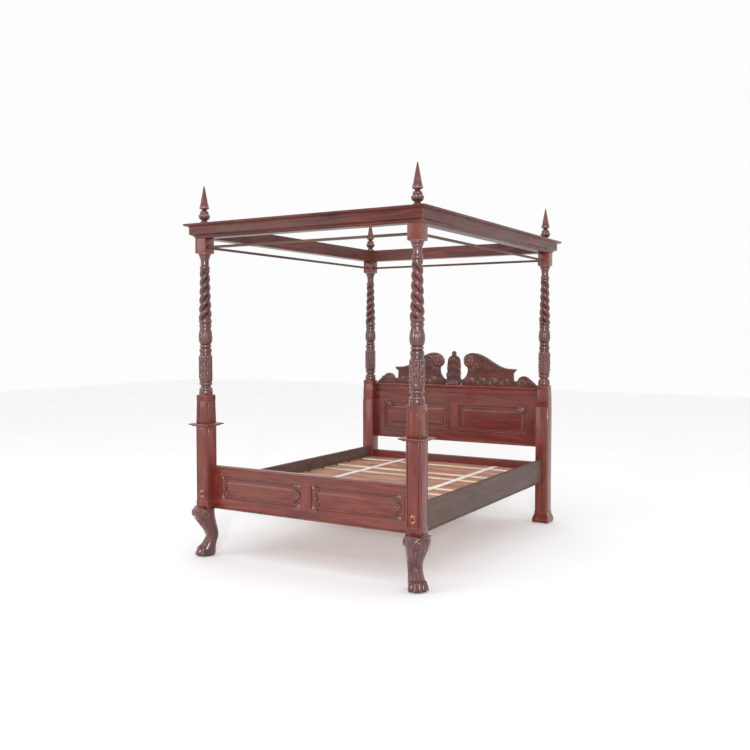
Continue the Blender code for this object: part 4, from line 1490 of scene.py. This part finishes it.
for side, hand in leftRight:
    low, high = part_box(f"webbing_{side}")
    middle = (low.x + high.x) / 2
    long = high.y - low.y
    strip = started(f"webbing_tape_{side}", "grid", (tape["wide"], long, 1), x_subdivisions=8,
                    y_subdivisions=tape["steps"], size=1,
                    location=(middle, (low.y + high.y) / 2, 0))
    for corner in strip.data.vertices:
        # the tape lies flat on each slat and sags a little between two
        y = corner.co.y
        gap = min(max(0.0, abs(y - at) - half) for at, half, _ in slatLines)
        sag = tape["sag"] * math.sin(math.pi / 2 * min(1.0, gap / 0.030)) ** 2
        rim = abs(corner.co.x - middle) / (tape["wide"] / 2)
        ripple = 0.0002 * abs(math.sin(y * 23 + hand) * math.sin(y * 61))
        corner.co.z = restZ - sag + ripple + 0.0001 * rim
        corner.co.x += wander(y, hand)
    useModifier(strip, "SOLIDIFY", thickness=tape["thick"], offset=1)
    finished(smoothOver(strip, 50), webbing)
    staples = [staple(middle + dx + wander(at + dy, hand), at + dy, restZ + tape["thick"] + 0.0003)
               for at, half, _ in slatLines for dx, dy in ((-0.010, -0.012), (0.010, 0.012))]
    shown(joined(f"tape_staples_{side}", staples), "slat_set", "steel", None)
    shown(strip, "slat_set", "webbing", None, f"webbing_{side}")
print("slats and tapes laid")


# bed bolts and their swinging brass covers
boltCuts = [(0, 0.0), (0.0066, 0.0), (0.0078, 0.0006), (0.0084, 0.0016), (0.0084, 0.0060),
            (0.0090, 0.0062), (0.0095, 0.0068), (0.0095, 0.0080), (0.0, 0.0086)]
plateSteps = (  # drawn in, then moved forward or back
    (0.0006, -0.0003), (0.0009, -0.0001), (0.0012, 0.0004), (0.0012, 0.0001), (0.0020, -0.0003),
    (0.0025, -0.0003), (0.0030, -0.0002))
for side, hand in leftRight:
    x = hand * bed["postX"]
    node = f"bed_bolt_{side}"
    boltHead = laid(turned("boltHead", boltCuts, 6, 30), (x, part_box(node)[0].y, bolt["height"]),
                    (-90, 0, 0))
    shown(boltHead, "bedstead", "steel", steel, node)

    node = f"bolt_cover_{side}"
    low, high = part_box(node)
    plate = started("plate", "circle", ((high.x - low.x) / 2, 0.0225, 1), vertices=56, radius=1,
                    fill_type="NGON", location=(x, bolt["frontY"] - 0.0003, bolt["height"]),
                    rotation=(math.radians(90), 0, 0))
    openEdit(plate, "FACE")
    extrudeBy((0, -0.0009, 0))
    for inset, forward in plateSteps:
        insetBy(inset, (0, forward, 0))
    faceOutwards()
    closeEdit()
    smoothOver(plate, 40)
    pinEnd = high.y - low.y - 0.0004
    pin = turned("pin", [(0.0, 0.0), (0.0018, 0.00015), (0.0030, 0.0007), (0.0037, 0.0015),
                         (0.0038, 0.0022), (0.0038, pinEnd), (0.0, pinEnd)], 24, 40)
    laid(pin, (x, low.y, bolt["coverPin"]), (-90, 0, 0))
    # the slot across the head of the screw
    cutAway(pin, block("slotCutter", (x - 0.0032, low.y - 0.0002, bolt["coverPin"] - 0.0004),
                       (x + 0.0032, low.y + 0.0007, bolt["coverPin"] + 0.0004), 0))
    shown(joined(f"brass_cover_{side}", [plate, pin]), f"bolt_cover_{side}", "brass", brass, node)
print("bolts and covers fitted")

thrownOut(leafStock, rosetteStock)

low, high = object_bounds()
print("size", [round(b - a, 4) for a, b in zip(low, high)])
